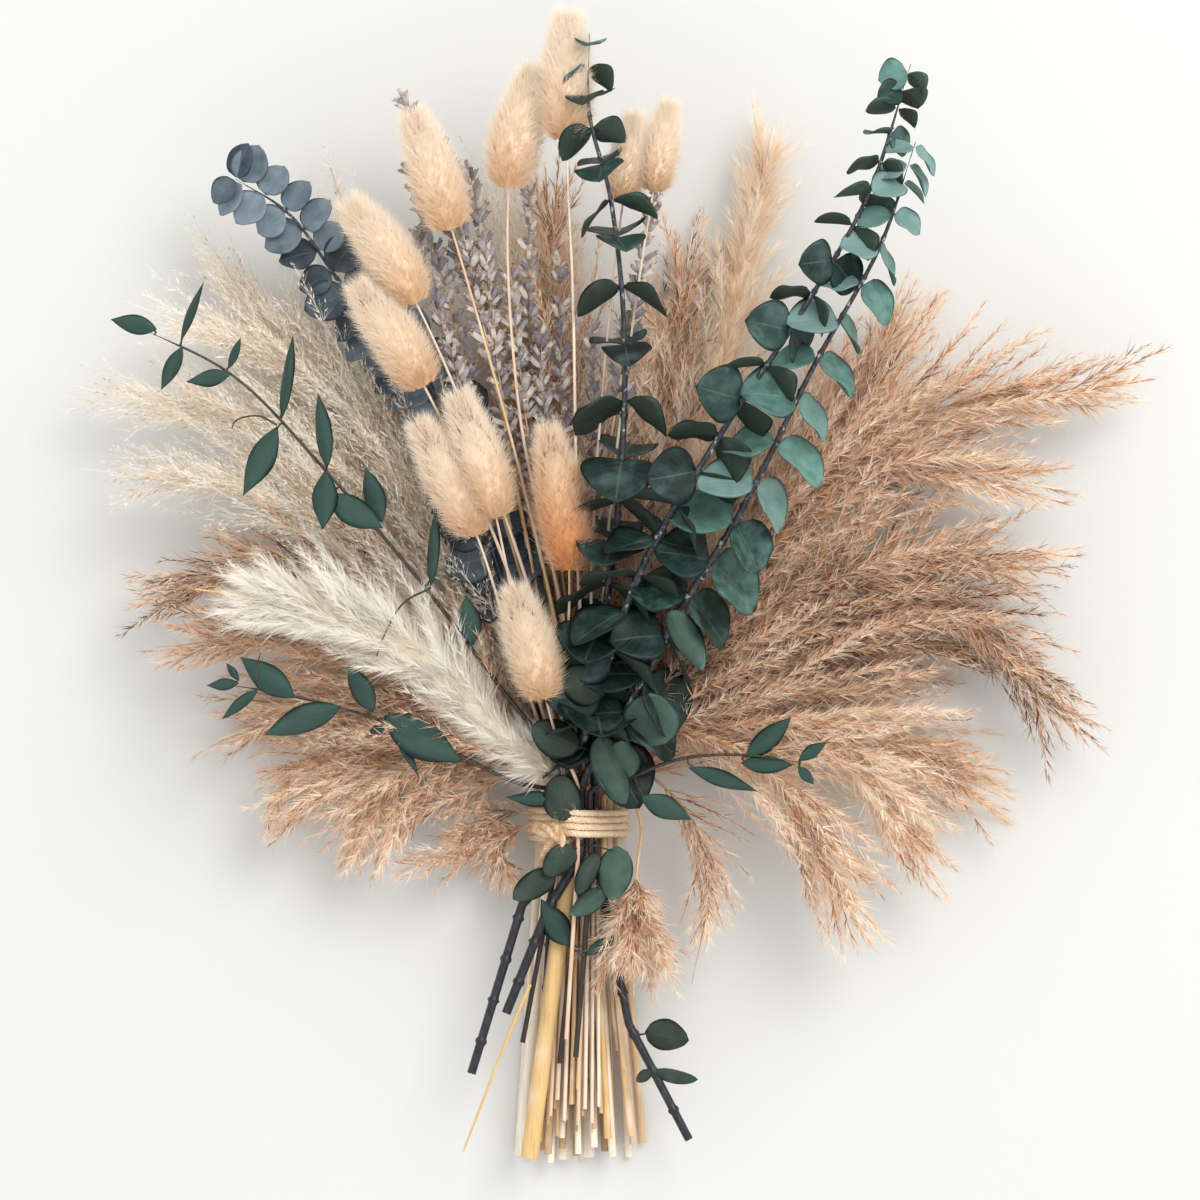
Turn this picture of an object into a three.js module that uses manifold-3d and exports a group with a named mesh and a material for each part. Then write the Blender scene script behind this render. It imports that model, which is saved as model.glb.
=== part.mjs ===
// A hand-tied bundle of dried pampas grass, reeds, bunny tails, lavender and
// preserved eucalyptus, lying on a level surface.
//
// Millimetres. The origin is the middle of the small flat under the tie, +Y runs
// from the tie to the flower heads, +X is to the right seen from above, +Z is up.
//
// Every stalk is one closed solid: its stem, the slim core of its head, and the
// leaves, buds or wisps that grow on it, fused in by a union. Stalks lie in layers,
// side by side where the twine holds them, and fan out and rise from there.

import * as THREE from 'three';
import { mergeVertices } from 'three/addons/utils/BufferGeometryUtils.js';
import Module from 'manifold-3d';

const wasm = await Module();
wasm.setup();
const { Manifold } = wasm;

// ---------------------------------------------------------------- dimensions

const CLEARANCE = 0.35;       // gap kept between two stalks, and to the twine
const TIE_STRAIGHT = 11;      // each stalk runs straight this far each side of the tie
const BEND_LATER = 0.4;       // and this much further for each mm that it lies in from the side
const BUNCH_HALF_WIDTH = 19;  // of the stems at the tie
const STEM_REST = 1.6;        // underside of the lowest stems above the surface, at the tie
// How far a layer has climbed, as [distance from the tie, share of its full height].
const CLIMB = [[0, 0], [60, 0.34], [150, 0.78], [280, 1]];
const FOOT_DROP = 1.8;        // how far the cut ends, FOOT_REACH from the tie, lie lower
const FOOT_REACH = 142;
const NECK_BENDS = [25, 60, 150, 220];   // where a stem's line turns, from the tie
const SHORT_NECK = 110;       // a stem shorter than this also turns at the first of them
const FLOOR_CLEAR = 0.15;     // height of the tip of a wisp that lies on the surface
const FLOOR_PRESS = 0.42;     // height of its middle line, as a share of its width

const TWINE_TURNS = 4;
const TWINE_DIAMETER = 3;
const TWINE_WALL = 1.5;       // thickness of the winding between two turns
const TWINE_CORNERS = 14;     // straight runs in one turn
const TWINE_MIDDLE = 1;       // of the winding, this far from the origin towards the heads
const TWINE_RIDGE = 0.4;      // flat top of a turn, as a share of its diameter
const KNOT_SIZE = new THREE.Vector3(6.5, 5, 4.5);
const KNOT_CORNER = 5;        // the corner of the winding that it sits over, upper left
const KNOT_SEAT = 1;          // its middle, out from the winding
const KNOT_ENDS = [[-7, -13, -6], [-9, 4, -9]];   // where its two loose ends reach, from its middle
const KNOT_BOW = [0.8, 0.4, 0.2];                 // a point on the way there, as shares of that
const LOOSE_END = { root: 1.3, tip: 1, sides: 5 };
const TIE_REACH = 60;         // further along the stems than any part of the knot
const TWINE_FINISH = { colour: '#d9b78a', roughness: 0.95 };

const BLADE_STATIONS = [0.24, 0.55, 0.86];   // where a leaf's outline is set, root to tip
const BLADE_RIB = 1.3;        // thickness of a leaf along its rib
const TUFT_STATIONS = [0, 0.4, 1];           // root, fullest point and tip of a tuft
const ROOT_DEPTH = 0.45;      // how far out a root starts, of the stem's radius
const LAST_BEND = 0.9;        // no bend nearer the head than this share of the neck

const WISP_TURN_SPREAD = 0.4;      // radians, how unevenly wisps are set round a head
const WISP_LEAN_SPREAD = 10;       // degrees
const WISP_SWELL = { least: 0.62, lead: 0.25 };   // shortest wisps, and how early the longest come
const LEAST_GIRTH = 0.7;           // of a short head, beside a full one
const WHORL_SPAN = { from: 0.06, to: 0.92 };      // where the whorls stand, as shares of the head
const WHORL_TWIST = 1.05;          // radians from one whorl to the next
const BUD_TURN_SPREAD = 0.3;
const BUD_CURL = 0.1;
const LEAF_TURN_SPREAD = 0.5;
const LEAF_LEAN_SPREAD = 30;       // degrees
const FOOT_LEAF = { turn: 0.3, width: 0.9, cup: 0.2, bend: 0.15 };

// The ways a repeat is turned, in radians, and shortened, until it clears its neighbours.
const TURNS = [0, 0.35, -0.35, 0.8, -0.8, 1.3, -1.3];
const SHORTER = [1, 0.72];

const FIRST_SEED = 5;
// Multiplier of the seed, then multiplier, shift and range of one draw after another.
const DRAW = { seed: 2654435761, factor: 1664525, shift: 1013904223, range: 4294967296 };
const GOLDEN_ANGLE = Math.PI * (3 - Math.sqrt(5));
const DEGREE = Math.PI / 180;
const STEEP = 0.9;                 // a direction whose rise is more than this counts as upright
const STEP = 1;                    // half the stretch over which a line's direction is taken
const MENDS = [0.1, 0.06, 0.15, 0.2];        // slivers smaller than this are closed after a union
const WELD = 0.001;                // points nearer than this count as one
const SURFACE = { side: 1000, depth: 100 };  // the block whose top is the surface

// ------------------------------------------------------------- kinds of stalk
// neck    stem radius just under the head
// head    length of the head, along the stalk
// core    [share of the head, radius] of the slim core, before the pointed tip
// wisps, whorls, leaf: how what grows on it is spaced, sized and leant. A leaf's width
//         and cup are shares of its length, droop is the range of its bend, and a flat
//         one faces up

const KINDS = {
  tanReed: {
    colour: '#c79c78', roughness: 0.95, sides: 4, neck: 1.1, head: 170,
    core: [[0, 1.3], [0.4, 2.4], [0.8, 1.2]],
    wisps: { count: 9, length: 54, width: 9.6, lean: 31, curl: 0.1, from: 0.02, to: 0.93 },
  },
  beigeReed: {
    colour: '#dcc3a4', roughness: 0.95, sides: 4, neck: 0.9, head: 150,
    core: [[0, 1.1], [0.5, 1.5]],
    wisps: { count: 8, length: 64, width: 5.8, lean: 22, curl: 0.08, from: 0.02, to: 0.9 },
  },
  creamPampas: {
    colour: '#f1e6d3', roughness: 0.95, sides: 6, neck: 3, head: 150,
    core: [[0, 3.8], [0.2, 7.5], [0.55, 9.5], [0.85, 6]],
    wisps: { count: 17, length: 38, width: 7.6, lean: 30, curl: 0.05, from: 0.05, to: 0.96 },
  },
  bunnyTail: {
    colour: '#ecc99c', roughness: 0.95, sides: 6, neck: 0.8, head: 47,
    core: [[0, 2.6], [0.16, 6.6], [0.5, 8], [0.84, 4.6]],
    wisps: { count: 7, length: 17, width: 5.4, lean: 38, curl: -0.05, from: 0.1, to: 0.86 },
  },
  lavender: {
    colour: '#9d93a6', roughness: 0.9, sides: 3, neck: 0.7, head: 62,
    core: [[0, 0.9], [0.85, 0.9]],
    whorls: { count: 4, buds: 2, length: 10, width: 4, lean: 32 },
  },
  eucalyptus: {
    colour: '#2f5145', roughness: 0.7, sides: 5, neck: 1.3, head: 20,
    core: [[0, 1.1]],
    leaf: { width: 1.4, cup: 0.22, droop: [0, -0.3], flat: false },
  },
  blueEucalyptus: {
    colour: '#6b7f88', roughness: 0.7, sides: 4, neck: 1.1, head: 20,
    core: [[0, 0.9]],
    leaf: { width: 1.15, cup: 0.22, droop: [0, -0.3], flat: false },
  },
  fineEucalyptus: {
    colour: '#4d7061', roughness: 0.7, sides: 4, neck: 0.9, head: 15,
    core: [[0, 0.8]],
    leaf: { width: 0.46, cup: 0.12, droop: [-0.05, 0.05], flat: true },
  },
};

// ------------------------------------------------------------------ the stalks
// One entry for a layer, from the surface up, and in it the stalks from left to
// right. Plan points are [x, y] from the tie: the route runs from the tie to the
// tip of the head, the foot from the tie to the cut end. lift raises a head, and
// raise opens a layer's gap to the one under it.

const LAYERS = [
  {
    height: 20,
    stalks: [
      { name: 'tan_reed_17', kind: 'tanReed', radius: 1.6, foot: [[-26, -139]],
        route: [[-40, 44], [-100, 56], [-156, 39]], head: 130 },
      { name: 'beige_reed_4', kind: 'beigeReed', radius: 1.6, foot: [[-21, -143]],
        route: [[-63, 117], [-124, 203], [-171, 261]] },
      { name: 'beige_reed_6', kind: 'beigeReed', radius: 1.6, foot: [[-15, -140]],
        route: [[-16, 99], [-25, 194], [-33, 293]] },
      { name: 'tan_reed_8', kind: 'tanReed', radius: 3.2, foot: [[-6, -144]],
        route: [[15, 99], [36, 177], [50, 261]] },
      { name: 'cream_pampas_2', kind: 'creamPampas', radius: 3.4, foot: [[4, -143]],
        route: [[27, 99], [57, 185], [85, 304]], head: 120 },
      { name: 'tan_reed_7', kind: 'tanReed', radius: 2.8, foot: [[14, -138]],
        route: [[44, 91], [100, 164], [149, 233]] },
      { name: 'tan_reed_15', kind: 'tanReed', radius: 1.6, foot: [[22, -143]],
        route: [[52, 61], [125, 85], [194, 74]] },
      { name: 'tan_reed_16', kind: 'tanReed', radius: 1.6, foot: [[28, -137]],
        route: [[48, 40], [110, 45], [186, 13]], head: 140 },
    ],
  },
  {
    height: 34,
    stalks: [
      { name: 'tan_reed_12', kind: 'tanReed', radius: 2.8, foot: [[-25, -142]],
        route: [[-36, 32], [-89, 32], [-133, 4]], head: 105 },
      { name: 'tan_reed_10', kind: 'tanReed', radius: 1.6, foot: [[-17, -136]],
        route: [[-59, 82], [-120, 112], [-193, 99]] },
      { name: 'beige_reed_1', kind: 'beigeReed', radius: 1.5, foot: [[-12, -145]],
        route: [[-55, 104], [-124, 168], [-218, 192]] },
      { name: 'beige_reed_5', kind: 'beigeReed', radius: 1.5, foot: [[-7, -139]],
        route: [[-38, 117], [-77, 203], [-107, 286]] },
      { name: 'tan_reed_14', kind: 'tanReed', radius: 1.4, foot: [[-1, -142]],
        route: [[-3, 99], [-8, 185], [-14, 286]] },
      { name: 'tan_reed_1', kind: 'tanReed', radius: 3, foot: [[13, -140]],
        route: [[48, 82], [130, 172], [245, 194]] },
      { name: 'tan_reed_4', kind: 'tanReed', radius: 1.6, foot: [[24, -137]],
        route: [[70, 65], [151, 99], [220, 37]] },
    ],
  },
  {
    height: 48,
    stalks: [
      { name: 'tan_reed_13', kind: 'tanReed', radius: 1.4, foot: [[-19, -132]],
        route: [[-28, 30], [-68, 32], [-98, -12]], head: 85 },
      { name: 'tan_reed_11', kind: 'tanReed', radius: 1.6, foot: [[-13, -141]],
        route: [[-51, 56], [-120, 82], [-182, 79]] },
      { name: 'beige_reed_2', kind: 'beigeReed', radius: 1.4, foot: [[-7, -134]],
        route: [[-55, 88], [-128, 142], [-214, 156]] },
      { name: 'beige_reed_3', kind: 'beigeReed', radius: 1.4, foot: [[0, -141]],
        route: [[-51, 112], [-107, 190], [-195, 228]] },
      { name: 'tan_reed_2', kind: 'tanReed', radius: 1.7, foot: [[7, -138]],
        route: [[48, 91], [117, 155], [209, 147]] },
      { name: 'tan_reed_3', kind: 'tanReed', radius: 1.7, foot: [[15, -142]],
        route: [[61, 78], [138, 117], [211, 110]] },
      { name: 'tan_reed_5', kind: 'tanReed', radius: 1.5, foot: [[23, -133]],
        route: [[52, 48], [108, 39], [158, -25]], head: 130 },
    ],
  },
  {
    height: 60,
    stalks: [
      { name: 'eucalyptus_blue', kind: 'blueEucalyptus', radius: 1.6, foot: [[-17, -120]],
        route: [[-34, 112], [-66, 195], [-100, 233], [-124, 265], [-147, 280]],
        pairs: { from: 95, pitch: 16.5, size: [18, 12], lean: 24 } },
      { name: 'lavender_2', kind: 'lavender', radius: 0.9, foot: [[-13, -128]],
        route: [[-24, 110], [-52, 215], [-72, 284]] },
      { name: 'lavender_1', kind: 'lavender', radius: 0.9, foot: [[-9, -133]],
        route: [[-20, 112], [-46, 235], [-76, 318]] },
      { name: 'lavender_4', kind: 'lavender', radius: 0.9, foot: [[-5, -126]],
        route: [[-14, 105], [-31, 200], [-47, 286]] },
      { name: 'lavender_5', kind: 'lavender', radius: 0.9, foot: [[-1, -131]],
        route: [[-8, 100], [-20, 200], [-21, 276]] },
      { name: 'lavender_9', kind: 'lavender', radius: 0.9, foot: [[3, -125]],
        route: [[-2, 95], [-7, 180], [-8, 245]] },
      { name: 'lavender_11', kind: 'lavender', radius: 0.9, foot: [[7, -130]],
        route: [[3, 90], [6, 160], [6, 215]] },
      { name: 'tan_reed_6', kind: 'tanReed', radius: 1.6, foot: [[13, -134]],
        route: [[31, 44], [80, 27], [125, -50]], head: 105 },
      { name: 'tan_spray_low', kind: 'tanReed', radius: 0.9, foot: [[17, -96]],
        route: [[24, 26], [48, 6], [56, -25], [49, -66]], head: 60 },
      { name: 'tan_reed_low', kind: 'tanReed', radius: 1.3, foot: [[20, -104]],
        route: [[22, 17], [34, 0], [37, -25], [43, -78]], head: 75 },
    ],
  },
  {
    height: 70,
    stalks: [
      { name: 'lavender_6', kind: 'lavender', radius: 0.9, foot: [[-10, -121]],
        route: [[-22, 100], [-50, 190], [-69, 258]] },
      { name: 'lavender_3', kind: 'lavender', radius: 0.9, foot: [[-6, -127]],
        route: [[-18, 105], [-40, 215], [-59, 297]] },
      { name: 'lavender_7', kind: 'lavender', radius: 0.9, foot: [[-2, -119]],
        route: [[-12, 98], [-32, 185], [-40, 250]] },
      { name: 'lavender_8', kind: 'lavender', radius: 0.9, foot: [[2, -124]],
        route: [[-8, 95], [-22, 175], [-29, 240]] },
      { name: 'lavender_10', kind: 'lavender', radius: 0.9, foot: [[6, -118]],
        route: [[-4, 90], [-13, 160], [-16, 215]] },
      { name: 'lavender_12', kind: 'lavender', radius: 0.9, foot: [[10, -123]],
        route: [[6, 105], [22, 215], [35, 281]] },
    ],
  },
  {
    height: 84,
    stalks: [
      { name: 'bunny_tail_7', kind: 'bunnyTail', radius: 0.9, foot: [[-15, -115]],
        route: [[-29, 82], [-46, 134], [-69, 177]], lift: 10 },
      { name: 'bunny_tail_6', kind: 'bunnyTail', radius: 0.9, foot: [[-12, -124]],
        route: [[-24, 82], [-37, 143], [-52, 189]], lift: 12 },
      { name: 'bunny_tail_5', kind: 'bunnyTail', radius: 1, foot: [[-9, -117]],
        route: [[-18, 75], [-38, 132], [-72, 202], [-96, 236]], lift: 3 },
      { name: 'bunny_tail_4', kind: 'bunnyTail', radius: 0.9, foot: [[-6, -126]],
        route: [[-14, 80], [-42, 164], [-76, 239], [-99, 271]] },
      { name: 'bunny_tail_3', kind: 'bunnyTail', radius: 0.9, foot: [[-3, -119]],
        route: [[-10, 91], [-33, 185], [-58, 271], [-71, 309]] },
      { name: 'bunny_tail_2', kind: 'bunnyTail', radius: 0.9, foot: [[0, -128]],
        route: [[-6, 90], [-25, 180], [-29, 280], [-18, 328]] },
      { name: 'bunny_tail_1', kind: 'bunnyTail', radius: 0.9, foot: [[3, -121]],
        route: [[0, 117], [-2, 228], [-5, 305], [-4, 351]], lift: 8 },
      { name: 'bunny_tail_11', kind: 'bunnyTail', radius: 0.8, foot: [[6, -127]],
        route: [[6, 117], [13, 215], [21, 282], [25, 309]], head: 34, girth: 0.7 },
      { name: 'bunny_tail_10', kind: 'bunnyTail', radius: 0.8, foot: [[9, -120]],
        route: [[12, 117], [25, 228], [34, 284], [40, 314]], head: 34, girth: 0.7 },
    ],
  },
  {
    height: 96,
    stalks: [
      { name: 'fine_eucalyptus_low', kind: 'fineEucalyptus', radius: 1.1, foot: [[-24, -92]],
        route: [[-28, 21], [-64, 39], [-101, 53], [-136, 61], [-156, 64]],
        pairs: { from: 45, pitch: 19, size: [24, 15], lean: 34 } },
      { name: 'cream_pampas_1', kind: 'creamPampas', radius: 3.8, foot: [[-21, -142]],
        route: [[-34, 42], [-59, 68], [-89, 86], [-124, 98], [-163, 104]], head: 150 },
      { name: 'fine_eucalyptus_left', kind: 'fineEucalyptus', radius: 1.1, foot: [[-8, -101]],
        route: [[-29, 56], [-64, 103], [-107, 154], [-147, 195], [-188, 216]],
        pairs: { from: 100, pitch: 21, size: [25, 16], lean: 30 } },
      { name: 'bunny_tail_8', kind: 'bunnyTail', radius: 0.9, foot: [[0, -112]],
        route: [[-4, 60], [-4, 118], [-13, 175]], head: 56, lift: 4 },
      { name: 'eucalyptus_tall', kind: 'eucalyptus', radius: 2.3, foot: [[22, -84], [48, -134]],
        route: [[7, 60], [17, 135], [20, 209], [14, 270], [5, 306], [5, 340]],
        pairs: { from: 42, pitch: 18.5, size: [21, 11], lean: 22 },
        footPairs: { at: [6, 24], size: 15 } },
    ],
  },
  {
    height: 114,
    stalks: [
      { name: 'eucalyptus_back', kind: 'eucalyptus', radius: 2.4, foot: [[-24, -32], [-46, -105]],
        route: [[6, 50], [27, 112], [59, 167], [96, 223], [123, 271], [141, 326]],
        pairs: { from: 70, pitch: 19, size: [21, 12], lean: 26 } },
      { name: 'eucalyptus_front', kind: 'eucalyptus', radius: 2.5, foot: [[-13, -34], [-31, -79]],
        route: [[20, 50], [44, 95], [70, 138], [101, 200], [128, 249], [143, 293]],
        pairs: { from: 22, pitch: 20.5, size: [24, 13], lean: 22 } },
      { name: 'fine_eucalyptus_right', kind: 'fineEucalyptus', radius: 1.2, foot: [[3, -50], [-1, -98]],
        route: [[20, 22], [44, 31], [70, 33], [95, 30]],
        pairs: { from: 24, pitch: 19, size: [24, 14], lean: 38 } },
    ],
  },
  {
    height: 122,
    raise: 0.5,
    stalks: [
      { name: 'bunny_tail_9', kind: 'bunnyTail', radius: 0.9, foot: [[-5, -90]],
        route: [[-9, 40], [-15, 62], [-28, 106]], head: 46 },
    ],
  },
];

// ------------------------------------------------------------- small helpers

const vector = (x, y, z = 0) => new THREE.Vector3(x, y, z);
const sum = (values) => values.reduce((total, value) => total + value, 0);
const last = (list) => list[list.length - 1];

// 0 at 0, 1 from 1 on, level at both ends.
const smooth = (value) => THREE.MathUtils.smoothstep(value, 0, 1);

// A repeatable stream of draws from 0 to 1.
function seededRandom(seed) {
  let state = seed * DRAW.seed % DRAW.range;
  return () => {
    state = (state * DRAW.factor + DRAW.shift) % DRAW.range;
    return state / DRAW.range;
  };
}

// A right-handed frame whose third axis is the direction, turned by angle about it.
function frameAbout(direction, angle) {
  const up = Math.abs(direction.z) > STEEP ? vector(1, 0, 0) : vector(0, 0, 1);
  const side = direction.clone().cross(up).normalize();
  const out = side.applyAxisAngle(direction, angle);
  return { out, across: direction.clone().cross(out) };
}

// ------------------------------------------------------------ closed surfaces

// A closed solid over rings of points. A ring of one point is a pointed end.
function skin(rings) {
  const sides = Math.max(...rings.map((ring) => ring.length));
  const firsts = rings.map((ring, i) => sum(rings.slice(0, i).map((before) => before.length)));
  const faces = [];
  for (let i = 0; i + 1 < rings.length; i += 1) {
    for (let j = 0; j < sides; j += 1) {
      const k = (j + 1) % sides;
      const at = (ring, side) => firsts[ring] + (rings[ring].length > 1 ? side : 0);
      if (rings[i].length > 1) faces.push([at(i, j), at(i, k), at(i + 1, j)]);
      if (rings[i + 1].length > 1) faces.push([at(i, k), at(i + 1, k), at(i + 1, j)]);
    }
  }
  for (let k = 1; k + 1 < rings[0].length; k += 1) faces.push([0, k + 1, k]);
  const end = last(firsts);
  for (let k = 1; k + 1 < last(rings).length; k += 1) faces.push([end, end + k, end + k + 1]);
  return new Manifold(new wasm.Mesh({
    numProp: 3,
    vertProperties: new Float32Array(rings.flat().flatMap((point) => point.toArray())),
    triVerts: new Uint32Array(faces.flat()),
  }));
}

// A tube of changing radius along a line of points.
function sweep(points, radii, sides) {
  let normal = null;
  return skin(points.map((point, i) => {
    const ahead = points[Math.min(i + 1, points.length - 1)];
    const tangent = ahead.clone().sub(points[Math.max(i - 1, 0)]).normalize();
    normal = normal ?? frameAbout(tangent, 0).out;
    normal = normal.clone().projectOnPlane(tangent).normalize();
    if (radii[i] === 0) return [point];
    return Array.from({ length: sides }, (unused, side) => normal.clone()
      .applyAxisAngle(tangent, side * 2 * Math.PI / sides)
      .multiplyScalar(radii[i])
      .add(point));
  }));
}

// A leaf: a lens-shaped section along its rib, cupped across and bent along.
function blade({ root, along, across, length, width, cup, bend }) {
  const face = along.clone().cross(across);
  const rings = BLADE_STATIONS.map((share) => {
    const half = 0.5 * width * Math.sqrt(1 - (2 * share - 1) ** 2);
    const rib = root.clone().addScaledVector(along, share * length)
      .addScaledVector(face, bend * length * share ** 2);
    const edge = rib.clone().addScaledVector(face, cup * half);
    return [
      edge.clone().addScaledVector(across, half),
      rib.clone().addScaledVector(face, BLADE_RIB / 2),
      edge.clone().addScaledVector(across, -half),
      rib.clone().addScaledVector(face, -BLADE_RIB / 2),
    ];
  });
  const tip = root.clone().addScaledVector(along, length).addScaledVector(face, bend * length);
  return skin([[root], ...rings, [tip]]);
}

// A three-sided tuft of hair or a bud, pointed, that never dips under the surface.
function tuft({ root, rootRadius, along, out, length, width, curl }) {
  const point = (share) => {
    const spot = root.clone().addScaledVector(along, share * length)
      .addScaledVector(out, curl * length * Math.sin(Math.PI * share));
    spot.z = Math.max(spot.z, FLOOR_CLEAR + FLOOR_PRESS * width * Math.sin(Math.PI * share));
    return spot;
  };
  return sweep(TUFT_STATIONS.map(point), [rootRadius, 0.5 * width, 0], 3);
}

// ------------------------------------------------------- where each stalk lies

// Sets each layer's height at the tie, and each stalk's place in its row there.
function layOutTie(layers) {
  let underside = STEM_REST;
  for (const layer of layers) {
    const thickest = Math.max(...layer.stalks.map((stalk) => stalk.radius));
    layer.waist = underside + thickest + (layer.raise ?? 0);
    underside = layer.waist + thickest + CLEARANCE;
    const gaps = CLEARANCE * (layer.stalks.length - 1);
    let edge = -0.5 * (gaps + sum(layer.stalks.map((stalk) => 2 * stalk.radius)));
    for (const stalk of layer.stalks) {
      stalk.tieX = edge + stalk.radius;
      stalk.bendY = TIE_STRAIGHT + BEND_LATER * (BUNCH_HALF_WIDTH - Math.abs(stalk.tieX));
      edge += 2 * stalk.radius + CLEARANCE;
    }
  }
}

// Straight between the points of CLIMB, so that layers never meet between them.
function climbShare(distance) {
  const next = CLIMB.findIndex(([mark]) => mark >= distance);
  if (next < 0) return 1;
  if (next === 0) return 0;
  const [[from, low], [to, high]] = [CLIMB[next - 1], CLIMB[next]];
  return low + (high - low) * (distance - from) / (to - from);
}

// Height of a stem's centre line below the tie.
function footHeight(layer, y) {
  return layer.waist - FOOT_DROP * (-y - TIE_STRAIGHT) / (FOOT_REACH - TIE_STRAIGHT);
}

// The stalk's centre line past the tie: a point for a distance from the tie.
function headLine(stalk, layer) {
  const below = vector(stalk.tieX, -TIE_STRAIGHT);
  const above = vector(stalk.tieX, stalk.bendY);
  const route = stalk.route.map(([x, y]) => vector(x, y));
  const plan = new THREE.CatmullRomCurve3([below, above, ...route], false, 'centripetal');
  const start = TIE_STRAIGHT + stalk.bendY;
  const length = plan.getLength() - start;
  const neck = length - (stalk.head ?? KINDS[stalk.kind].head);
  const at = (distance) => {
    const point = plan.getPointAt(Math.min(1, (distance + start) / (length + start)));
    const climb = (layer.height - layer.waist) * climbShare(distance);
    const lift = (stalk.lift ?? 0) * smooth(distance / neck);
    return point.setZ(layer.waist + climb + lift);
  };
  const along = (distance) => at(distance + STEP).sub(at(distance - STEP)).normalize();
  return { at, along, length, neck };
}

// ------------------------------------------------------------- stem and core

function stemSolid(stalk, layer, line) {
  const kind = KINDS[stalk.kind];
  const girth = stalk.girth ?? 1;
  const points = [];
  const radii = [];
  const add = (point, radius) => {
    points.push(point);
    radii.push(radius);
  };
  for (const [x, y] of stalk.foot.toReversed()) {
    add(vector(x, y, footHeight(layer, y)), stalk.radius);
  }
  add(vector(stalk.tieX, -TIE_STRAIGHT, layer.waist), stalk.radius);
  add(vector(stalk.tieX, stalk.bendY, layer.waist), stalk.radius);
  const bends = line.neck < SHORT_NECK ? NECK_BENDS : NECK_BENDS.slice(1);
  for (const mark of bends.filter((distance) => distance < LAST_BEND * line.neck)) {
    add(line.at(mark), THREE.MathUtils.lerp(stalk.radius, kind.neck, mark / line.neck));
  }
  const head = line.length - line.neck;
  for (const [share, radius] of kind.core) add(line.at(line.neck + share * head), radius * girth);
  add(line.at(line.length), 0);
  return sweep(points, radii, kind.sides);
}

// --------------------------------------------------------- what grows on them
// Each of these lists, for every repeat, the ways it may lie, best first.

function* eachWay(make) {
  for (const scale of SHORTER) {
    for (const turn of TURNS) yield make(turn, scale);
  }
}

function wispWays(stalk, line, random) {
  const kind = KINDS[stalk.kind];
  const { count, length, width, lean, curl, from, to } = kind.wisps;
  const head = line.length - line.neck;
  const girth = Math.min(1, stalk.girth ?? Math.max(LEAST_GIRTH, head / kind.head));
  const number = Math.round(count * girth);
  return Array.from({ length: number }, (unused, i) => {
    const share = from + (to - from) * (i + 0.5) / number;
    const distance = line.neck + share * head;
    const fullness = Math.sin(Math.PI * Math.min(1, share + WISP_SWELL.lead));
    const swell = THREE.MathUtils.lerp(WISP_SWELL.least, 1, fullness);
    const angle = i * GOLDEN_ANGLE + WISP_TURN_SPREAD * random();
    const tilt = (lean + WISP_LEAN_SPREAD * (random() - 0.5)) * DEGREE;
    return () => eachWay((turn, scale) => {
      const axis = line.along(distance);
      const { out } = frameAbout(axis, angle + turn);
      const core = ROOT_DEPTH * kind.core[0][1] * girth;
      return tuft({
        root: line.at(distance).addScaledVector(out, core),
        rootRadius: core,
        along: axis.clone().multiplyScalar(Math.cos(tilt)).addScaledVector(out, Math.sin(tilt)),
        out,
        length: length * girth * swell * scale,
        width: width * girth,
        curl,
      });
    });
  });
}

function budWays(stalk, line, random) {
  const { count, buds, length, width, lean } = KINDS[stalk.kind].whorls;
  const head = line.length - line.neck;
  const ways = [];
  for (let whorl = 0; whorl < count; whorl += 1) {
    const share = THREE.MathUtils.lerp(WHORL_SPAN.from, WHORL_SPAN.to, whorl / (count - 1));
    const distance = line.neck + head * share;
    for (let bud = 0; bud < buds; bud += 1) {
      const angle = bud * 2 * Math.PI / buds + whorl * WHORL_TWIST + BUD_TURN_SPREAD * random();
      ways.push(() => eachWay((turn, scale) => {
        const axis = line.along(distance);
        const { out } = frameAbout(axis, angle + turn);
        const tilt = lean * DEGREE;
        const core = ROOT_DEPTH * KINDS[stalk.kind].core[0][1];
        return tuft({
          root: line.at(distance).addScaledVector(out, core),
          rootRadius: core,
          along: axis.clone().multiplyScalar(Math.cos(tilt)).addScaledVector(out, Math.sin(tilt)),
          out,
          length: length * scale,
          width,
          curl: BUD_CURL,
        });
      }));
    }
  }
  return ways;
}

// Pairs of leaves, each pair a quarter turn from the last. Flat ones keep to the sides.
function leafWays(stalk, line, random) {
  const { from, pitch, size, lean } = stalk.pairs;
  const kind = KINDS[stalk.kind];
  const count = Math.floor((line.length - from) / pitch);
  const ways = [];
  for (let pair = 0; pair <= count; pair += 1) {
    const distance = from + pair * pitch;
    const length = THREE.MathUtils.lerp(size[0], size[1], pair / count);
    const quarter = kind.leaf.flat ? 0 : (pair % 2) * Math.PI / 2;
    for (const half of [0, Math.PI]) {
      const angle = quarter + half + LEAF_TURN_SPREAD * (random() - 0.5);
      const tilt = (lean + LEAF_LEAN_SPREAD * (random() - 0.5)) * DEGREE;
      const bend = THREE.MathUtils.lerp(...kind.leaf.droop, random());
      ways.push(() => eachWay((turn, scale) => (
        leafAt(line, distance, angle + turn, { kind, tilt, bend, length: length * scale }))));
    }
  }
  return ways;
}

function leafAt(line, distance, angle, { kind, tilt, bend, length }) {
  const axis = line.along(distance);
  const { out, across } = frameAbout(axis, angle);
  const along = out.clone().multiplyScalar(Math.cos(tilt)).addScaledVector(axis, Math.sin(tilt));
  return blade({
    root: line.at(distance).addScaledVector(out, ROOT_DEPTH * kind.neck),
    along,
    across: kind.leaf.flat ? along.clone().cross(across).normalize() : across,
    length,
    width: kind.leaf.width * length,
    cup: kind.leaf.cup,
    bend,
  });
}

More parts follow.
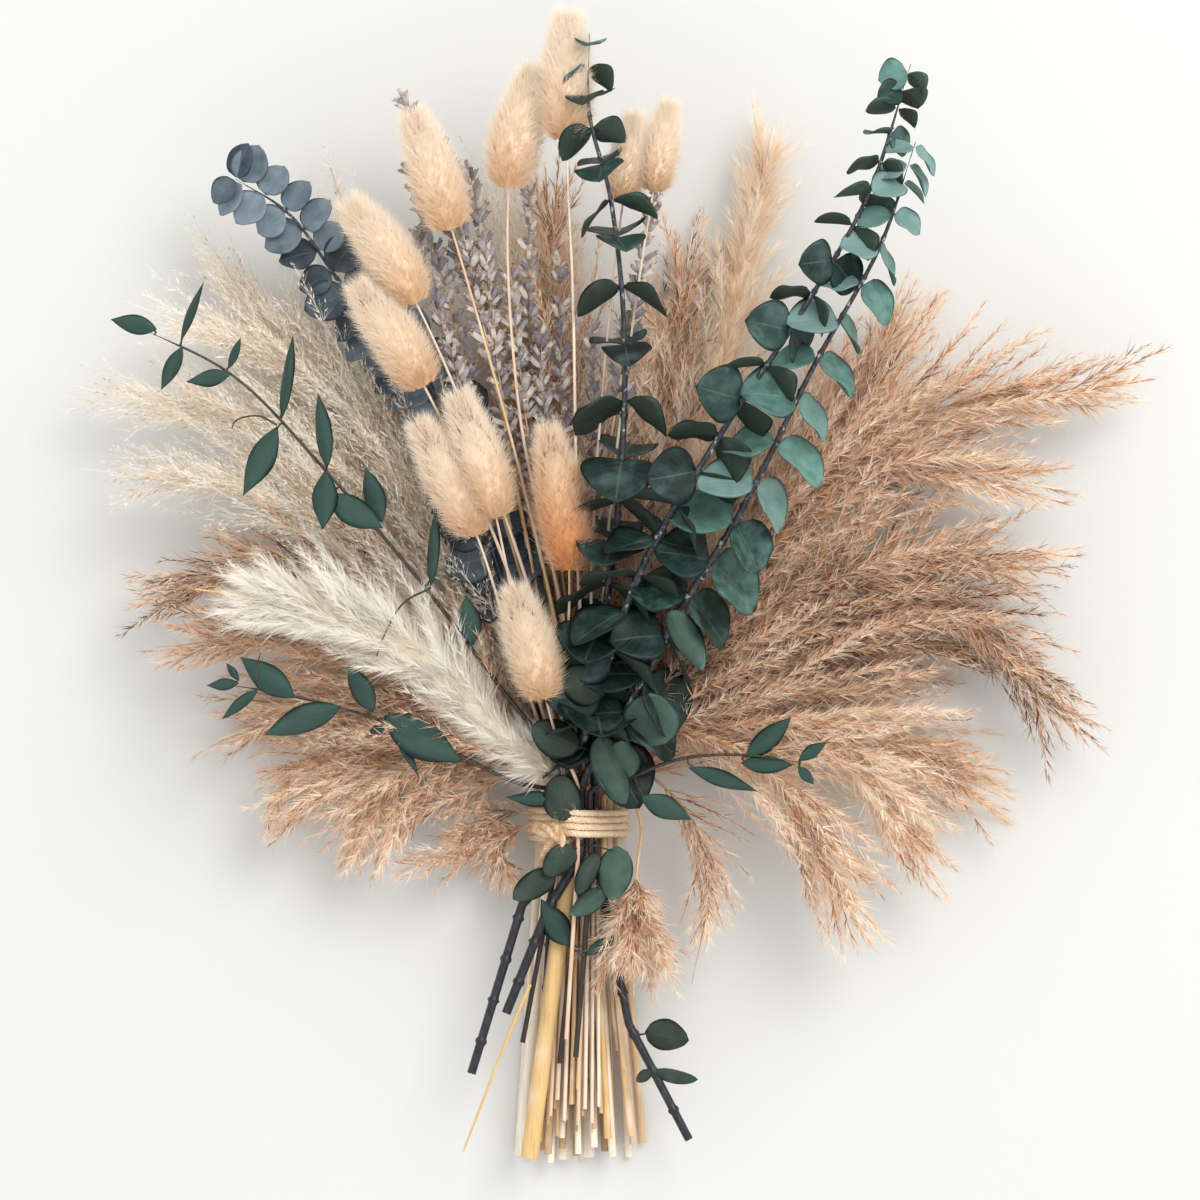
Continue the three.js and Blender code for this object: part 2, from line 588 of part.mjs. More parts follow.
// The few leaves left on a stem below the tie.
function footLeafWays(stalk, layer) {
  const [near, end] = stalk.foot.map(([x, y]) => vector(x, y, footHeight(layer, y)));
  const along = end.clone().sub(near).normalize();
  const ways = [];
  for (const mark of stalk.footPairs.at) {
    const root = near.clone().addScaledVector(along, mark);
    for (const half of [0, Math.PI]) {
      ways.push(() => eachWay((turn, scale) => {
        const { out, across } = frameAbout(along, half + FOOT_LEAF.turn + turn);
        const length = stalk.footPairs.size * scale;
        const { cup, bend } = FOOT_LEAF;
        return blade({ root, along: out, across, length, width: FOOT_LEAF.width * length, cup, bend });
      }));
    }
  }
  return ways;
}

function waysOf(stalk, layer, line, random) {
  const kind = KINDS[stalk.kind];
  return [
    ...(stalk.pairs ? leafWays(stalk, line, random) : []),
    ...(stalk.footPairs ? footLeafWays(stalk, layer) : []),
    ...(kind.whorls ? budWays(stalk, line, random) : []),
    ...(kind.wisps ? wispWays(stalk, line, random) : []),
  ];
}

// ------------------------------------------------------ keeping stalks apart

function boxesNear(a, b) {
  return [0, 1, 2].every((i) => a.min[i] < b.max[i] + CLEARANCE && b.min[i] < a.max[i] + CLEARANCE);
}

// A repeat is clear when it keeps the gap to every solid of every other stalk.
function isClear(candidate, owner, placed) {
  const box = candidate.boundingBox();
  return placed.every((other) => other.owner === owner || !boxesNear(box, other.box)
    || candidate.minGap(other.solid, CLEARANCE) >= CLEARANCE);
}

function place(solid, owner, placed) {
  placed.push({ solid, owner, box: solid.boundingBox() });
}

// ------------------------------------------------------------------ the twine

// Corner of the ring drawn tight round every stem at the tie, opened by an offset. One
// of its straight runs lies level under the stems.
function ringCorner(circles, corner, offset) {
  const reach = (angle) => CLEARANCE + offset
    + Math.max(...circles.map(({ x, z, r }) => x * Math.cos(angle) + z * Math.sin(angle) + r));
  const first = 2 * Math.PI * (corner + 0.5) / TWINE_CORNERS;
  const second = first + 2 * Math.PI / TWINE_CORNERS;
  const turn = Math.sin(second - first);
  const x = (reach(first) * Math.sin(second) - reach(second) * Math.sin(first)) / turn;
  const z = (reach(second) * Math.cos(first) - reach(first) * Math.cos(second)) / turn;
  return { x, z };
}

// The winding's section: [offset outward, place along the stems], one ridge a turn.
function windingSection() {
  const end = 0.5 * TWINE_TURNS * TWINE_DIAMETER;
  const ridge = 0.5 * TWINE_RIDGE * TWINE_DIAMETER;
  const section = [[0, -end], [0, end]];
  for (let turn = TWINE_TURNS - 1; turn >= 0; turn -= 1) {
    const middle = (turn + 0.5) * TWINE_DIAMETER - end;
    section.push([TWINE_WALL, middle + 0.5 * TWINE_DIAMETER]);
    section.push([TWINE_DIAMETER, middle + ridge]);
    section.push([TWINE_DIAMETER, middle - ridge]);
  }
  section.push([TWINE_WALL, -end]);
  return section;
}

function windingSolid(circles) {
  const section = windingSection();
  const points = [];
  const faces = [];
  for (let corner = 0; corner < TWINE_CORNERS; corner += 1) {
    for (const [offset, along] of section) {
      const { x, z } = ringCorner(circles, corner, offset);
      points.push([x, along + TWINE_MIDDLE, z]);
    }
  }
  const size = section.length;
  for (let corner = 0; corner < TWINE_CORNERS; corner += 1) {
    const next = (corner + 1) % TWINE_CORNERS;
    for (let i = 0; i < size; i += 1) {
      const j = (i + 1) % size;
      faces.push([corner * size + i, next * size + i, corner * size + j]);
      faces.push([corner * size + j, next * size + i, next * size + j]);
    }
  }
  return new Manifold(new wasm.Mesh({
    numProp: 3,
    vertProperties: new Float32Array(points.flat()),
    triVerts: new Uint32Array(faces.flat()),
  }));
}

function solidFromGeometry(geometry) {
  geometry.deleteAttribute('normal');
  geometry.deleteAttribute('uv');
  const merged = mergeVertices(geometry);
  return new Manifold(new wasm.Mesh({
    numProp: 3,
    vertProperties: new Float32Array(merged.attributes.position.array),
    triVerts: new Uint32Array(merged.index.array),
  }));
}

// The knot and its two loose ends, on the winding's upper left side.
function knotSolid(circles) {
  const { x, z } = ringCorner(circles, KNOT_CORNER, TWINE_DIAMETER + KNOT_SEAT);
  const lump = new THREE.IcosahedronGeometry(1, 1);
  lump.scale(...KNOT_SIZE.toArray());
  lump.translate(x, 0, z);
  const middle = vector(x, 0, z);
  const { root, tip, sides } = LOOSE_END;
  const ends = KNOT_ENDS.map((reach) => {
    const way = vector(...reach);
    const bow = way.clone().multiply(vector(...KNOT_BOW)).add(middle);
    return sweep([middle, bow, way.add(middle)], [root, root, tip], sides);
  });
  return Manifold.union([solidFromGeometry(lump), ...ends]);
}

// Everything inside the ring, so that the knot doesn't press into the stems.
function ringInside(circles) {
  const outline = Array.from({ length: TWINE_CORNERS }, (unused, i) => ringCorner(circles, i, 0));
  const ends = [TIE_REACH, -TIE_REACH].map((y) => outline.map(({ x, z }) => vector(x, y, z)));
  return skin(ends);
}

function twineSolid(circles) {
  const knot = knotSolid(circles).subtract(ringInside(circles));
  return windingSolid(circles).add(knot);
}

// ------------------------------------------------------------ building it all

function biggestPiece(solid) {
  return solid.decompose().reduce((best, piece) => (piece.volume() > best.volume() ? piece : best));
}

// Whether every edge is still shared by just two triangles once near points are one.
function staysClosed(solid) {
  const { vertProperties, triVerts } = solid.getMesh();
  const key = (vertex) => [0, 1, 2].map((i) => Math.round(vertProperties[3 * vertex + i] / WELD)).join();
  const edges = new Map();
  for (let first = 0; first < triVerts.length; first += 3) {
    const corners = [0, 1, 2].map((i) => key(triVerts[first + i]));
    if (new Set(corners).size < 3) continue;
    corners.forEach((corner, i) => {
      const edge = `${corner} ${corners[(i + 1) % 3]}`;
      edges.set(edge, (edges.get(edge) ?? 0) + 1);
    });
  }
  const turned = (edge) => edge.split(' ').reverse().join(' ');
  return [...edges].every(([edge, times]) => times === 1 && edges.get(turned(edge)) === 1);
}

// The fused stalk without slivers or scraps.
function mended(solid) {
  const tries = MENDS.map((size) => biggestPiece(solid.simplify(size)));
  return tries.find(staysClosed) ?? tries[0];
}

function nodeMesh(name, solid, { colour, roughness }) {
  const { vertProperties, triVerts } = solid.getMesh();
  const geometry = new THREE.BufferGeometry();
  geometry.setAttribute('position', new THREE.BufferAttribute(new Float32Array(vertProperties), 3));
  geometry.setIndex(new THREE.BufferAttribute(new Uint32Array(triVerts), 1));
  geometry.computeVertexNormals();
  const material = new THREE.MeshStandardMaterial({ color: colour, roughness, metalness: 0 });
  const mesh = new THREE.Mesh(geometry, material);
  mesh.name = name;
  return mesh;
}

function buildBundle() {
  layOutTie(LAYERS);
  const stalks = LAYERS.flatMap((layer) => layer.stalks.map((stalk) => ({
    stalk, layer, line: headLine(stalk, layer),
  })));

  const placed = [];
  for (const { stalk, layer, line } of stalks) {
    place(stemSolid(stalk, layer, line), stalk.name, placed);
  }
  const circles = stalks.map(({ stalk, layer }) => ({ x: stalk.tieX, z: layer.waist, r: stalk.radius }));
  place(twineSolid(circles), 'twine', placed);

  // The uppermost stalks choose first, since they show most.
  stalks.toReversed().forEach(({ stalk, layer, line }, i) => {
    const random = seededRandom(FIRST_SEED + i);
    for (const ways of waysOf(stalk, layer, line, random)) {
      for (const candidate of ways()) {
        if (isClear(candidate, stalk.name, placed)) {
          place(candidate, stalk.name, placed);
          break;
        }
      }
    }
  });

  const block = new THREE.BoxGeometry(SURFACE.side, SURFACE.side, SURFACE.depth);
  const surface = solidFromGeometry(block.translate(0, 0, -0.5 * SURFACE.depth));
  const bundle = new THREE.Group();
  const finish = { twine: TWINE_FINISH };
  for (const { stalk } of stalks) finish[stalk.name] = KINDS[stalk.kind];
  for (const name of Object.keys(finish)) {
    const own = placed.filter(({ owner }) => owner === name).map(({ solid }) => solid);
    const solid = mended(Manifold.union(own).subtract(surface));
    bundle.add(nodeMesh(name, solid, finish[name]));
  }
  return bundle;
}

export default buildBundle();
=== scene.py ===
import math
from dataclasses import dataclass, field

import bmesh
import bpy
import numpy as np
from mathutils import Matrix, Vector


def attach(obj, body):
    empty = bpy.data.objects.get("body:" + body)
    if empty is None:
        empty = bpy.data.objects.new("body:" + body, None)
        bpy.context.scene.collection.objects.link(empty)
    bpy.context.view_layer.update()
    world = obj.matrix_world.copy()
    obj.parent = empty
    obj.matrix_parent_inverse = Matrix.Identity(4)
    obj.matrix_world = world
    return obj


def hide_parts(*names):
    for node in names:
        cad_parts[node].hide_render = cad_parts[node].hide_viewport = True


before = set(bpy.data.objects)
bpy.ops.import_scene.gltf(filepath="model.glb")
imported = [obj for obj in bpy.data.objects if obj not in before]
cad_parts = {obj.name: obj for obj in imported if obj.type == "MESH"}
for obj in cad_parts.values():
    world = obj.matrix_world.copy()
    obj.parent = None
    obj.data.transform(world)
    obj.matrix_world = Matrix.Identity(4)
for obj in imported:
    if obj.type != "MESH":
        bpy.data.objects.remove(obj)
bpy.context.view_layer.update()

# Dresses the hand-tied bundle: dried reeds, pampas, bunny tails, lavender and preserved
# eucalyptus, tied with jute and lying on a pale surface.
#
# The bundle's own frame: the origin is under the tie, +Y runs from the tie to the flower
# heads, +X is to the right seen from above, +Z is up. Sizes are typed in millimetres and
# turned into metres by MM. A stalk follows the same points as its solid in the frame.

MM = 0.001
GOLDEN_ANGLE = math.pi * (3 - math.sqrt(5))
UP = (0.0, 0.0, 1.0)

# ------------------------------------------------------------------ the stalks at the tie

CLEARANCE = 0.35          # between two stems of a row
TIE_STRAIGHT = 11         # a stem runs straight this far each side of the tie
BEND_LATER = 0.4          # and this much further for each mm that it lies in from the side
BUNCH_HALF_WIDTH = 19
STEM_REST = 1.6           # underside of the lowest stems
CLIMB_AT = (0, 60, 150, 280)
CLIMB_SHARE = (0, 0.34, 0.78, 1)
FOOT_DROP = 1.8
FOOT_REACH = 142
LINE_STEP = 3.0           # between two points of a finished centre line
KNOTTED_STEP = 1.0        # the same, where a stem has knots
FLOOR_SOFT = 2.0          # what would lie lower is pressed flat towards the surface


@dataclass
class Stalk:
    """One stalk: plan points in mm from the tie, and how it differs from its kind."""
    name: str
    kind: str
    radius: float
    foot: list                # plan points below the tie, from the tie down
    route: list               # plan points above it, from the tie up
    head: float = 0           # length of the head, or 0 for that of its kind
    lift: float = 0           # how much higher the head lies than its layer
    girth: float = 1          # of a tail, times the usual one
    pairs: list = field(default_factory=list)     # distances of the leaf pairs from the tie
    leaf: tuple = (21, 12)    # lengths of the lowest and of the topmost leaf
    tones: tuple = (0.0, 1.0)       # from its darkest to its palest leaf
    warmth: float = 0.15      # of a tail's fur
    straw: float = -1         # tone of the stem, or below 0 to draw it
    face: float = 1           # -1 rolls its leaves the other way
    opened: float = 0         # share of leaves that show their whole face
    twist: float = 90         # degrees between one leaf pair and the next
    waist: float = 0          # height of its row at the tie, set by lay_out_tie
    tie_x: float = 0          # its place across that row, set there too
    height: float = 0         # height that its layer climbs to


# (height that the layer climbs to, gap opened under it, its stalks from left to right)
LAYERS = [
    (20, 0, [
        Stalk("tan_reed_17", "tan", 1.6, [(-26, -139)], [(-40, 44), (-100, 56), (-156, 39)], head=130),
        Stalk("beige_reed_4", "beige", 1.6, [(-21, -143)], [(-63, 117), (-124, 203), (-171, 261)]),
        Stalk("beige_reed_6", "beige", 1.6, [(-15, -140)], [(-16, 99), (-25, 194), (-33, 293)]),
        Stalk("tan_reed_8", "tan", 3.2, [(-6, -144)], [(15, 99), (36, 177), (50, 261)], straw=1),
        Stalk("cream_pampas_2", "cream", 3.4, [(4, -143)], [(27, 99), (57, 185), (85, 304)], head=120,
              straw=0.95),
        Stalk("tan_reed_7", "tan", 2.8, [(14, -138)], [(44, 91), (100, 164), (149, 233)], straw=0.7),
        Stalk("tan_reed_15", "tan", 1.6, [(22, -143)], [(52, 61), (125, 85), (194, 74)]),
        Stalk("tan_reed_16", "tan", 1.6, [(28, -137)], [(48, 40), (110, 45), (186, 13)], head=140),
    ]),
    (34, 0, [
        Stalk("tan_reed_12", "tan", 2.8, [(-25, -142)], [(-36, 32), (-89, 32), (-133, 4)], head=105,
              straw=0.95),
        Stalk("tan_reed_10", "tan", 1.6, [(-17, -136)], [(-59, 82), (-120, 112), (-193, 99)]),
        Stalk("beige_reed_1", "beige", 1.5, [(-12, -145)], [(-55, 104), (-124, 168), (-218, 192)]),
        Stalk("beige_reed_5", "beige", 1.5, [(-7, -139)], [(-38, 117), (-77, 203), (-107, 286)]),
        Stalk("tan_reed_14", "tan", 1.4, [(-1, -142)], [(-3, 99), (-8, 185), (-14, 286)]),
        Stalk("tan_reed_1", "tan", 3.0, [(13, -140)], [(48, 82), (130, 172), (245, 194)]),
        Stalk("tan_reed_4", "tan", 1.6, [(24, -137)], [(70, 65), (151, 99), (220, 37)]),
    ]),
    (48, 0, [
        Stalk("tan_reed_13", "tan", 1.4, [(-19, -132)], [(-28, 30), (-68, 32), (-98, -12)], head=85),
        Stalk("tan_reed_11", "tan", 1.6, [(-13, -141)], [(-51, 56), (-120, 82), (-182, 79)]),
        Stalk("beige_reed_2", "beige", 1.4, [(-7, -134)], [(-55, 88), (-128, 142), (-214, 156)]),
        Stalk("beige_reed_3", "beige", 1.4, [(0, -141)], [(-51, 112), (-107, 190), (-195, 228)]),
        Stalk("tan_reed_2", "tan", 1.7, [(7, -138)], [(48, 91), (117, 155), (209, 147)]),
        Stalk("tan_reed_3", "tan", 1.7, [(15, -142)], [(61, 78), (138, 117), (211, 110)]),
        Stalk("tan_reed_5", "tan", 1.5, [(23, -133)], [(52, 48), (108, 39), (158, -25)], head=130),
    ]),
    (60, 0, [
        Stalk("eucalyptus_blue", "blue", 1.6, [(-17, -120)],
              [(-34, 112), (-66, 195), (-100, 233), (-124, 265), (-147, 280)],
              pairs=list(range(88, 326, 11)), leaf=(21, 15), tones=(0.1, 1.0)),
        Stalk("lavender_2", "lavender", 0.9, [(-13, -128)], [(-24, 110), (-52, 215), (-72, 284)]),
        Stalk("lavender_1", "lavender", 0.9, [(-9, -133)], [(-20, 112), (-46, 235), (-76, 318)]),
        Stalk("lavender_4", "lavender", 0.9, [(-5, -126)], [(-14, 105), (-31, 200), (-47, 286)]),
        Stalk("lavender_5", "lavender", 0.9, [(-1, -131)], [(-8, 100), (-20, 200), (-21, 276)]),
        Stalk("lavender_9", "lavender", 0.9, [(3, -125)], [(-2, 95), (-7, 180), (-8, 245)]),
        Stalk("lavender_11", "lavender", 0.9, [(7, -130)], [(3, 90), (6, 160), (6, 215)]),
        Stalk("tan_reed_6", "tan", 1.6, [(13, -134)], [(31, 44), (80, 27), (125, -50)], head=105),
        Stalk("tan_spray_low", "tan", 0.9, [(17, -96)], [(24, 26), (48, 6), (56, -25), (49, -66)], head=60,
              straw=0.1),
        Stalk("tan_reed_low", "tan", 1.3, [(20, -104)], [(20, 17), (27, 4), (25, -22), (24, -72)], head=75),
    ]),
    (70, 0, [
        Stalk("lavender_6", "lavender", 0.9, [(-10, -121)], [(-22, 100), (-50, 190), (-69, 258)]),
        Stalk("lavender_3", "lavender", 0.9, [(-6, -127)], [(-18, 105), (-40, 215), (-59, 297)]),
        Stalk("lavender_7", "lavender", 0.9, [(-2, -119)], [(-12, 98), (-32, 185), (-40, 250)]),
        Stalk("lavender_8", "lavender", 0.9, [(2, -124)], [(-8, 95), (-22, 175), (-29, 240)]),
        Stalk("lavender_10", "lavender", 0.9, [(6, -118)], [(-4, 90), (-13, 160), (-16, 215)]),
        Stalk("lavender_12", "lavender", 0.9, [(10, -123)], [(6, 105), (22, 215), (35, 281)]),
    ]),
    (84, 0, [
        Stalk("bunny_tail_7", "bunny", 0.9, [(-15, -115)], [(-29, 82), (-46, 134), (-69, 177)], lift=10),
        Stalk("bunny_tail_6", "bunny", 0.9, [(-12, -124)], [(-24, 82), (-37, 143), (-52, 189)], lift=12),
        Stalk("bunny_tail_5", "bunny", 1.0, [(-9, -117)],
              [(-18, 75), (-38, 132), (-72, 202), (-96, 236)], lift=3),
        Stalk("bunny_tail_4", "bunny", 0.9, [(-6, -126)], [(-14, 80), (-42, 164), (-76, 239), (-99, 271)]),
        Stalk("bunny_tail_3", "bunny", 0.9, [(-3, -119)], [(-10, 91), (-33, 185), (-58, 271), (-71, 309)]),
        Stalk("bunny_tail_2", "bunny", 0.9, [(0, -128)], [(-6, 90), (-25, 180), (-29, 280), (-18, 328)]),
        Stalk("bunny_tail_1", "bunny", 0.9, [(3, -121)],
              [(0, 117), (-2, 228), (-5, 305), (-4, 351)], lift=8),
        Stalk("bunny_tail_11", "bunny", 0.8, [(6, -127)],
              [(6, 117), (13, 215), (21, 282), (25, 309)], head=34, girth=0.7),
        Stalk("bunny_tail_10", "bunny", 0.8, [(9, -120)],
              [(12, 117), (25, 228), (34, 284), (40, 314)], head=34, girth=0.7),
    ]),
    (96, 0, [
        Stalk("fine_eucalyptus_low", "fine", 1.1, [(-24, -92)],
              [(-28, 21), (-64, 39), (-101, 53), (-136, 61), (-156, 64)], straw=0),
        Stalk("cream_pampas_1", "cream", 3.8, [(-21, -142)],
              [(-34, 42), (-59, 68), (-89, 86), (-124, 98), (-163, 104)], straw=0.5),
        Stalk("fine_eucalyptus_left", "fine", 1.1, [(-8, -101)],
              [(-29, 56), (-64, 103), (-107, 154), (-147, 195), (-188, 216)], straw=0),
        Stalk("bunny_tail_8", "bunny", 0.9, [(0, -112)], [(-4, 60), (-4, 118), (-13, 175)], head=56,
              lift=4, warmth=0.62),
        # Its leaves' low tones are partly their own dark colour and partly painted shade, as many lie in
        # shadow.
        Stalk("eucalyptus_tall", "green", 2.3, [(22, -84), (48, -134)],
              [(7, 60), (17, 135), (20, 209), (14, 270), (5, 306), (5, 340)],
              pairs=[24, 42, 60, 78, 97, 116, 134, 153, 178, 202, 227, 248, 264, 280, 296, 310, 322, 332],
              leaf=(28, 13), tones=(0.0, 0.5), face=-1, opened=0.12),
    ]),
    (114, 0, [
        # The back stem's leaves are darker than the front stem's: partly their own colour, partly painted
        # shade, as they lie in shadow under it. The front stem's high tones are partly painted light on
        # leaves turned up to the light.
        Stalk("eucalyptus_back", "green", 2.4, [(-24, -32), (-46, -105)],
              [(6, 50), (27, 112), (59, 167), (96, 223), (123, 271), (141, 326)],
              pairs=[*range(34, 251, 18), 267, 284, 299, 313, 326, 337],
              leaf=(25, 12), tones=(0.0, 0.5), face=-1, opened=0.3, twist=38),
        Stalk("eucalyptus_front", "green", 2.5, [(-13, -34), (-31, -79)],
              [(20, 50), (44, 95), (70, 138), (101, 200), (128, 249), (143, 293)],
              pairs=[*range(22, 203, 20), 221, 240, 258, 275, 291, 305],
              leaf=(29, 14), tones=(0.45, 1.05), twist=26),
        Stalk("fine_eucalyptus_right", "fine", 1.2, [(3, -50), (-1, -98)],
              [(20, 22), (44, 31), (70, 33), (95, 30)], straw=0),
    ]),
    (122, 0.5, [
        Stalk("bunny_tail_9", "bunny", 0.9, [(-5, -90)], [(-9, 40), (-15, 62), (-28, 106)], head=46),
    ]),
]

HEAD_LENGTH = {"tan": 170, "beige": 150, "cream": 150, "bunny": 47, "lavender": 92,
               "green": 20, "blue": 20, "fine": 15}
NECK_RADIUS = {"tan": 1.0, "beige": 0.7, "cream": 2.6, "bunny": 0.5, "lavender": 0.5,
               "green": 1.0, "blue": 0.8, "fine": 0.55}
NECK_SHARE = 0.6          # and no thicker than this share of the stem at the tie


def lay_out_tie():
    """Sets each stalk's row height and its place in the row, as in the frame's solids."""
    underside = STEM_REST
    for height, gap, stalks in LAYERS:
        thickest = max(stalk.radius for stalk in stalks)
        waist = underside + thickest + gap
        underside = waist + thickest + CLEARANCE
        width = sum(2 * stalk.radius for stalk in stalks) + CLEARANCE * (len(stalks) - 1)
        edge = -0.5 * width
        for stalk in stalks:
            stalk.waist, stalk.height = waist, height
            stalk.tie_x = edge + stalk.radius
            edge += 2 * stalk.radius + CLEARANCE


def smooth(value):
    value = np.clip(value, 0, 1)
    return value * value * (3 - 2 * value)


def curve_through(points, steps=60):
    """Points of the centripetal curve through the given ones."""
    ends = [2 * points[0] - points[1], *points, 2 * points[-1] - points[-2]]
    found = []
    for before, start, end, after in zip(ends, ends[1:], ends[2:], ends[3:]):
        t0, t1, t2 = (np.sqrt(np.linalg.norm(b - a))
                      for a, b in ((before, start), (start, end), (end, after)))
        leave = ((start - before) / t0 - (end - before) / (t0 + t1) + (end - start) / t1) * t1
        arrive = ((end - start) / t1 - (after - start) / (t1 + t2) + (after - end) / t2) * t1
        t = np.linspace(0, 1, steps, endpoint=False)[:, None]
        found.append((2 * t**3 - 3 * t**2 + 1) * start + (t**3 - 2 * t**2 + t) * leave
                     + (-2 * t**3 + 3 * t**2) * end + (t**3 - t**2) * arrive)
    return np.vstack([*found, points[-1][None]])


def lengths_along(points):
    return np.concatenate([[0], np.cumsum(np.linalg.norm(np.diff(points, axis=0), axis=1))])


def sampled(points, run, marks):
    """The points of a line, or the point, at these run lengths."""
    return np.stack([np.interp(marks, run, column) for column in points.T], -1)


def resampled(path, step):
    run = lengths_along(path)
    return sampled(path, run, np.arange(0, run[-1], step))


def above_tie(stalk, step):
    """A line's length and points past the tie's upper bend, climbing to its layer."""
    tie_bend = TIE_STRAIGHT + BEND_LATER * (BUNCH_HALF_WIDTH - abs(stalk.tie_x))
    knots = [(stalk.tie_x, -TIE_STRAIGHT), (stalk.tie_x, tie_bend), *stalk.route]
    plan = curve_through([np.array(knot, float) for knot in knots])
    run = lengths_along(plan)
    start = TIE_STRAIGHT + tie_bend
    length = run[-1] - start
    marks = np.linspace(0, length, int(length / step) + 1)
    climb = (stalk.height - stalk.waist) * np.interp(marks, CLIMB_AT, CLIMB_SHARE)
    lift = stalk.lift * smooth(marks / (length - HEAD_LENGTH[stalk.kind]))
    return length, np.column_stack([sampled(plan, run, marks + start), stalk.waist + climb + lift])


def below_tie(stalk, bend, step):
    """Its points from the cut end up to that bend, the feet dropping a little."""
    feet = [(x, y, stalk.waist - FOOT_DROP * (-y - TIE_STRAIGHT) / (FOOT_REACH - TIE_STRAIGHT))
            for x, y in reversed(stalk.foot)]
    corners = np.array([*feet, (stalk.tie_x, -TIE_STRAIGHT, stalk.waist), tuple(bend)])
    run = lengths_along(corners)
    return sampled(corners, run, np.arange(0, run[-1] - 0.5 * step, step))


class Line:
    """A stalk's centre line, in mm, from its cut end through the tie to its tip."""

    def __init__(self, stalk):
        step = KNOTTED_STEP if stalk.kind in ("green", "blue") else LINE_STEP
        self.length, above = above_tie(stalk, step)
        foot = below_tie(stalk, above[0], step)
        self.head = stalk.head or HEAD_LENGTH[stalk.kind]
        self.neck = self.length - self.head
        self.points = np.vstack([foot, above])
        self.run = lengths_along(self.points)
        self.tie = self.run[len(foot)]      # run length where distance 0 lies
        self.total = self.run[-1]

    def at(self, distance):
        """The point that lies this far past the tie's upper bend."""
        return sampled(self.points, self.run, distance + self.tie)

    def along(self, distance):
        step = self.at(distance + 2) - self.at(distance - 2)
        return step / np.linalg.norm(step)


# ------------------------------------------------------------------------- node trees

class Value:
    """A node's output that can be used in sums, in shader and in geometry trees."""

    def __init__(self, tree, socket):
        self.tree = tree
        self.socket = socket

    def __add__(self, other):
        return self.tree.work("ADD", self, other)

    def __radd__(self, other):
        return self.tree.work("ADD", other, self)

    def __sub__(self, other):
        return self.tree.work("SUBTRACT", self, other)

    def __rsub__(self, other):
        return self.tree.work("SUBTRACT", other, self)

    def __mul__(self, other):
        return self.tree.work("MULTIPLY", self, other)

    def __rmul__(self, other):
        return self.tree.work("MULTIPLY", other, self)

    def __truediv__(self, other):
        return self.tree.work("DIVIDE", self, other)

    def __pow__(self, other):
        return self.tree.work("POWER", self, other)


def is_vector(term):
    return isinstance(term, tuple) or (isinstance(term, Value) and term.socket.type == "VECTOR")


class Made:
    """A node that has been put in a tree, read by its outputs' names."""

    def __init__(self, tree, node):
        self.tree = tree
        self.node = node

    def __getitem__(self, name):
        found = next(s for s in self.node.outputs if s.enabled and s.name == name)
        return Value(self.tree, found)


class Tree:
    """A node tree that is filled by put() and by sums of its values."""

    def __init__(self, nodes):
        self.nodes = nodes

    def put(self, kind, settings=None, sockets=None):
        """Adds a node: its settings first, then what its sockets hold or are linked to."""
        node = self.nodes.nodes.new(kind)
        for name, setting in (settings or {}).items():
            if name == "stops":
                self.set_stops(node, setting)
            else:
                setattr(node, name, setting)
        for name, given in (sockets or {}).items():
            shown = [s for s in node.inputs if s.enabled]
            socket = shown[name] if isinstance(name, int) else next(s for s in shown if s.name == name)
            for item in given if isinstance(given, list) else [given]:
                if isinstance(item, Value):
                    self.nodes.links.new(item.socket, socket)
                else:
                    socket.default_value = item
        return Made(self, node)

    @staticmethod
    def set_stops(ramp, stops):
        elements = ramp.color_ramp.elements
        while len(elements) < len(stops):
            elements.new(0.5)
        for element, (place, colour) in zip(elements, stops):
            element.position = place
            element.color = colour

    def work(self, operation, a, b=None):
        """One step of a sum, on numbers or on vectors."""
        if not (is_vector(a) or is_vector(b)):
            terms = {i: term for i, term in enumerate((a, b)) if term is not None}
            return self.put("ShaderNodeMath", {"operation": operation}, terms)["Value"]
        if operation == "MULTIPLY" and not (is_vector(a) and is_vector(b)):
            way, size = (a, b) if is_vector(a) else (b, a)
            return self.put("ShaderNodeVectorMath", {"operation": "SCALE"},
                            {0: way, "Scale": size})["Vector"]
        return self.put("ShaderNodeVectorMath", {"operation": operation}, {0: a, 1: b})["Vector"]

    def cross(self, a, b):
        crossed = self.work("CROSS_PRODUCT", a, b)
        return self.put("ShaderNodeVectorMath", {"operation": "NORMALIZE"}, {0: crossed})["Vector"]

    def sine(self, a):
        return self.work("SINE", a)

    def cosine(self, a):
        return self.work("COSINE", a)

    def between(self, low, high, share):
        return low + (high - low) * share


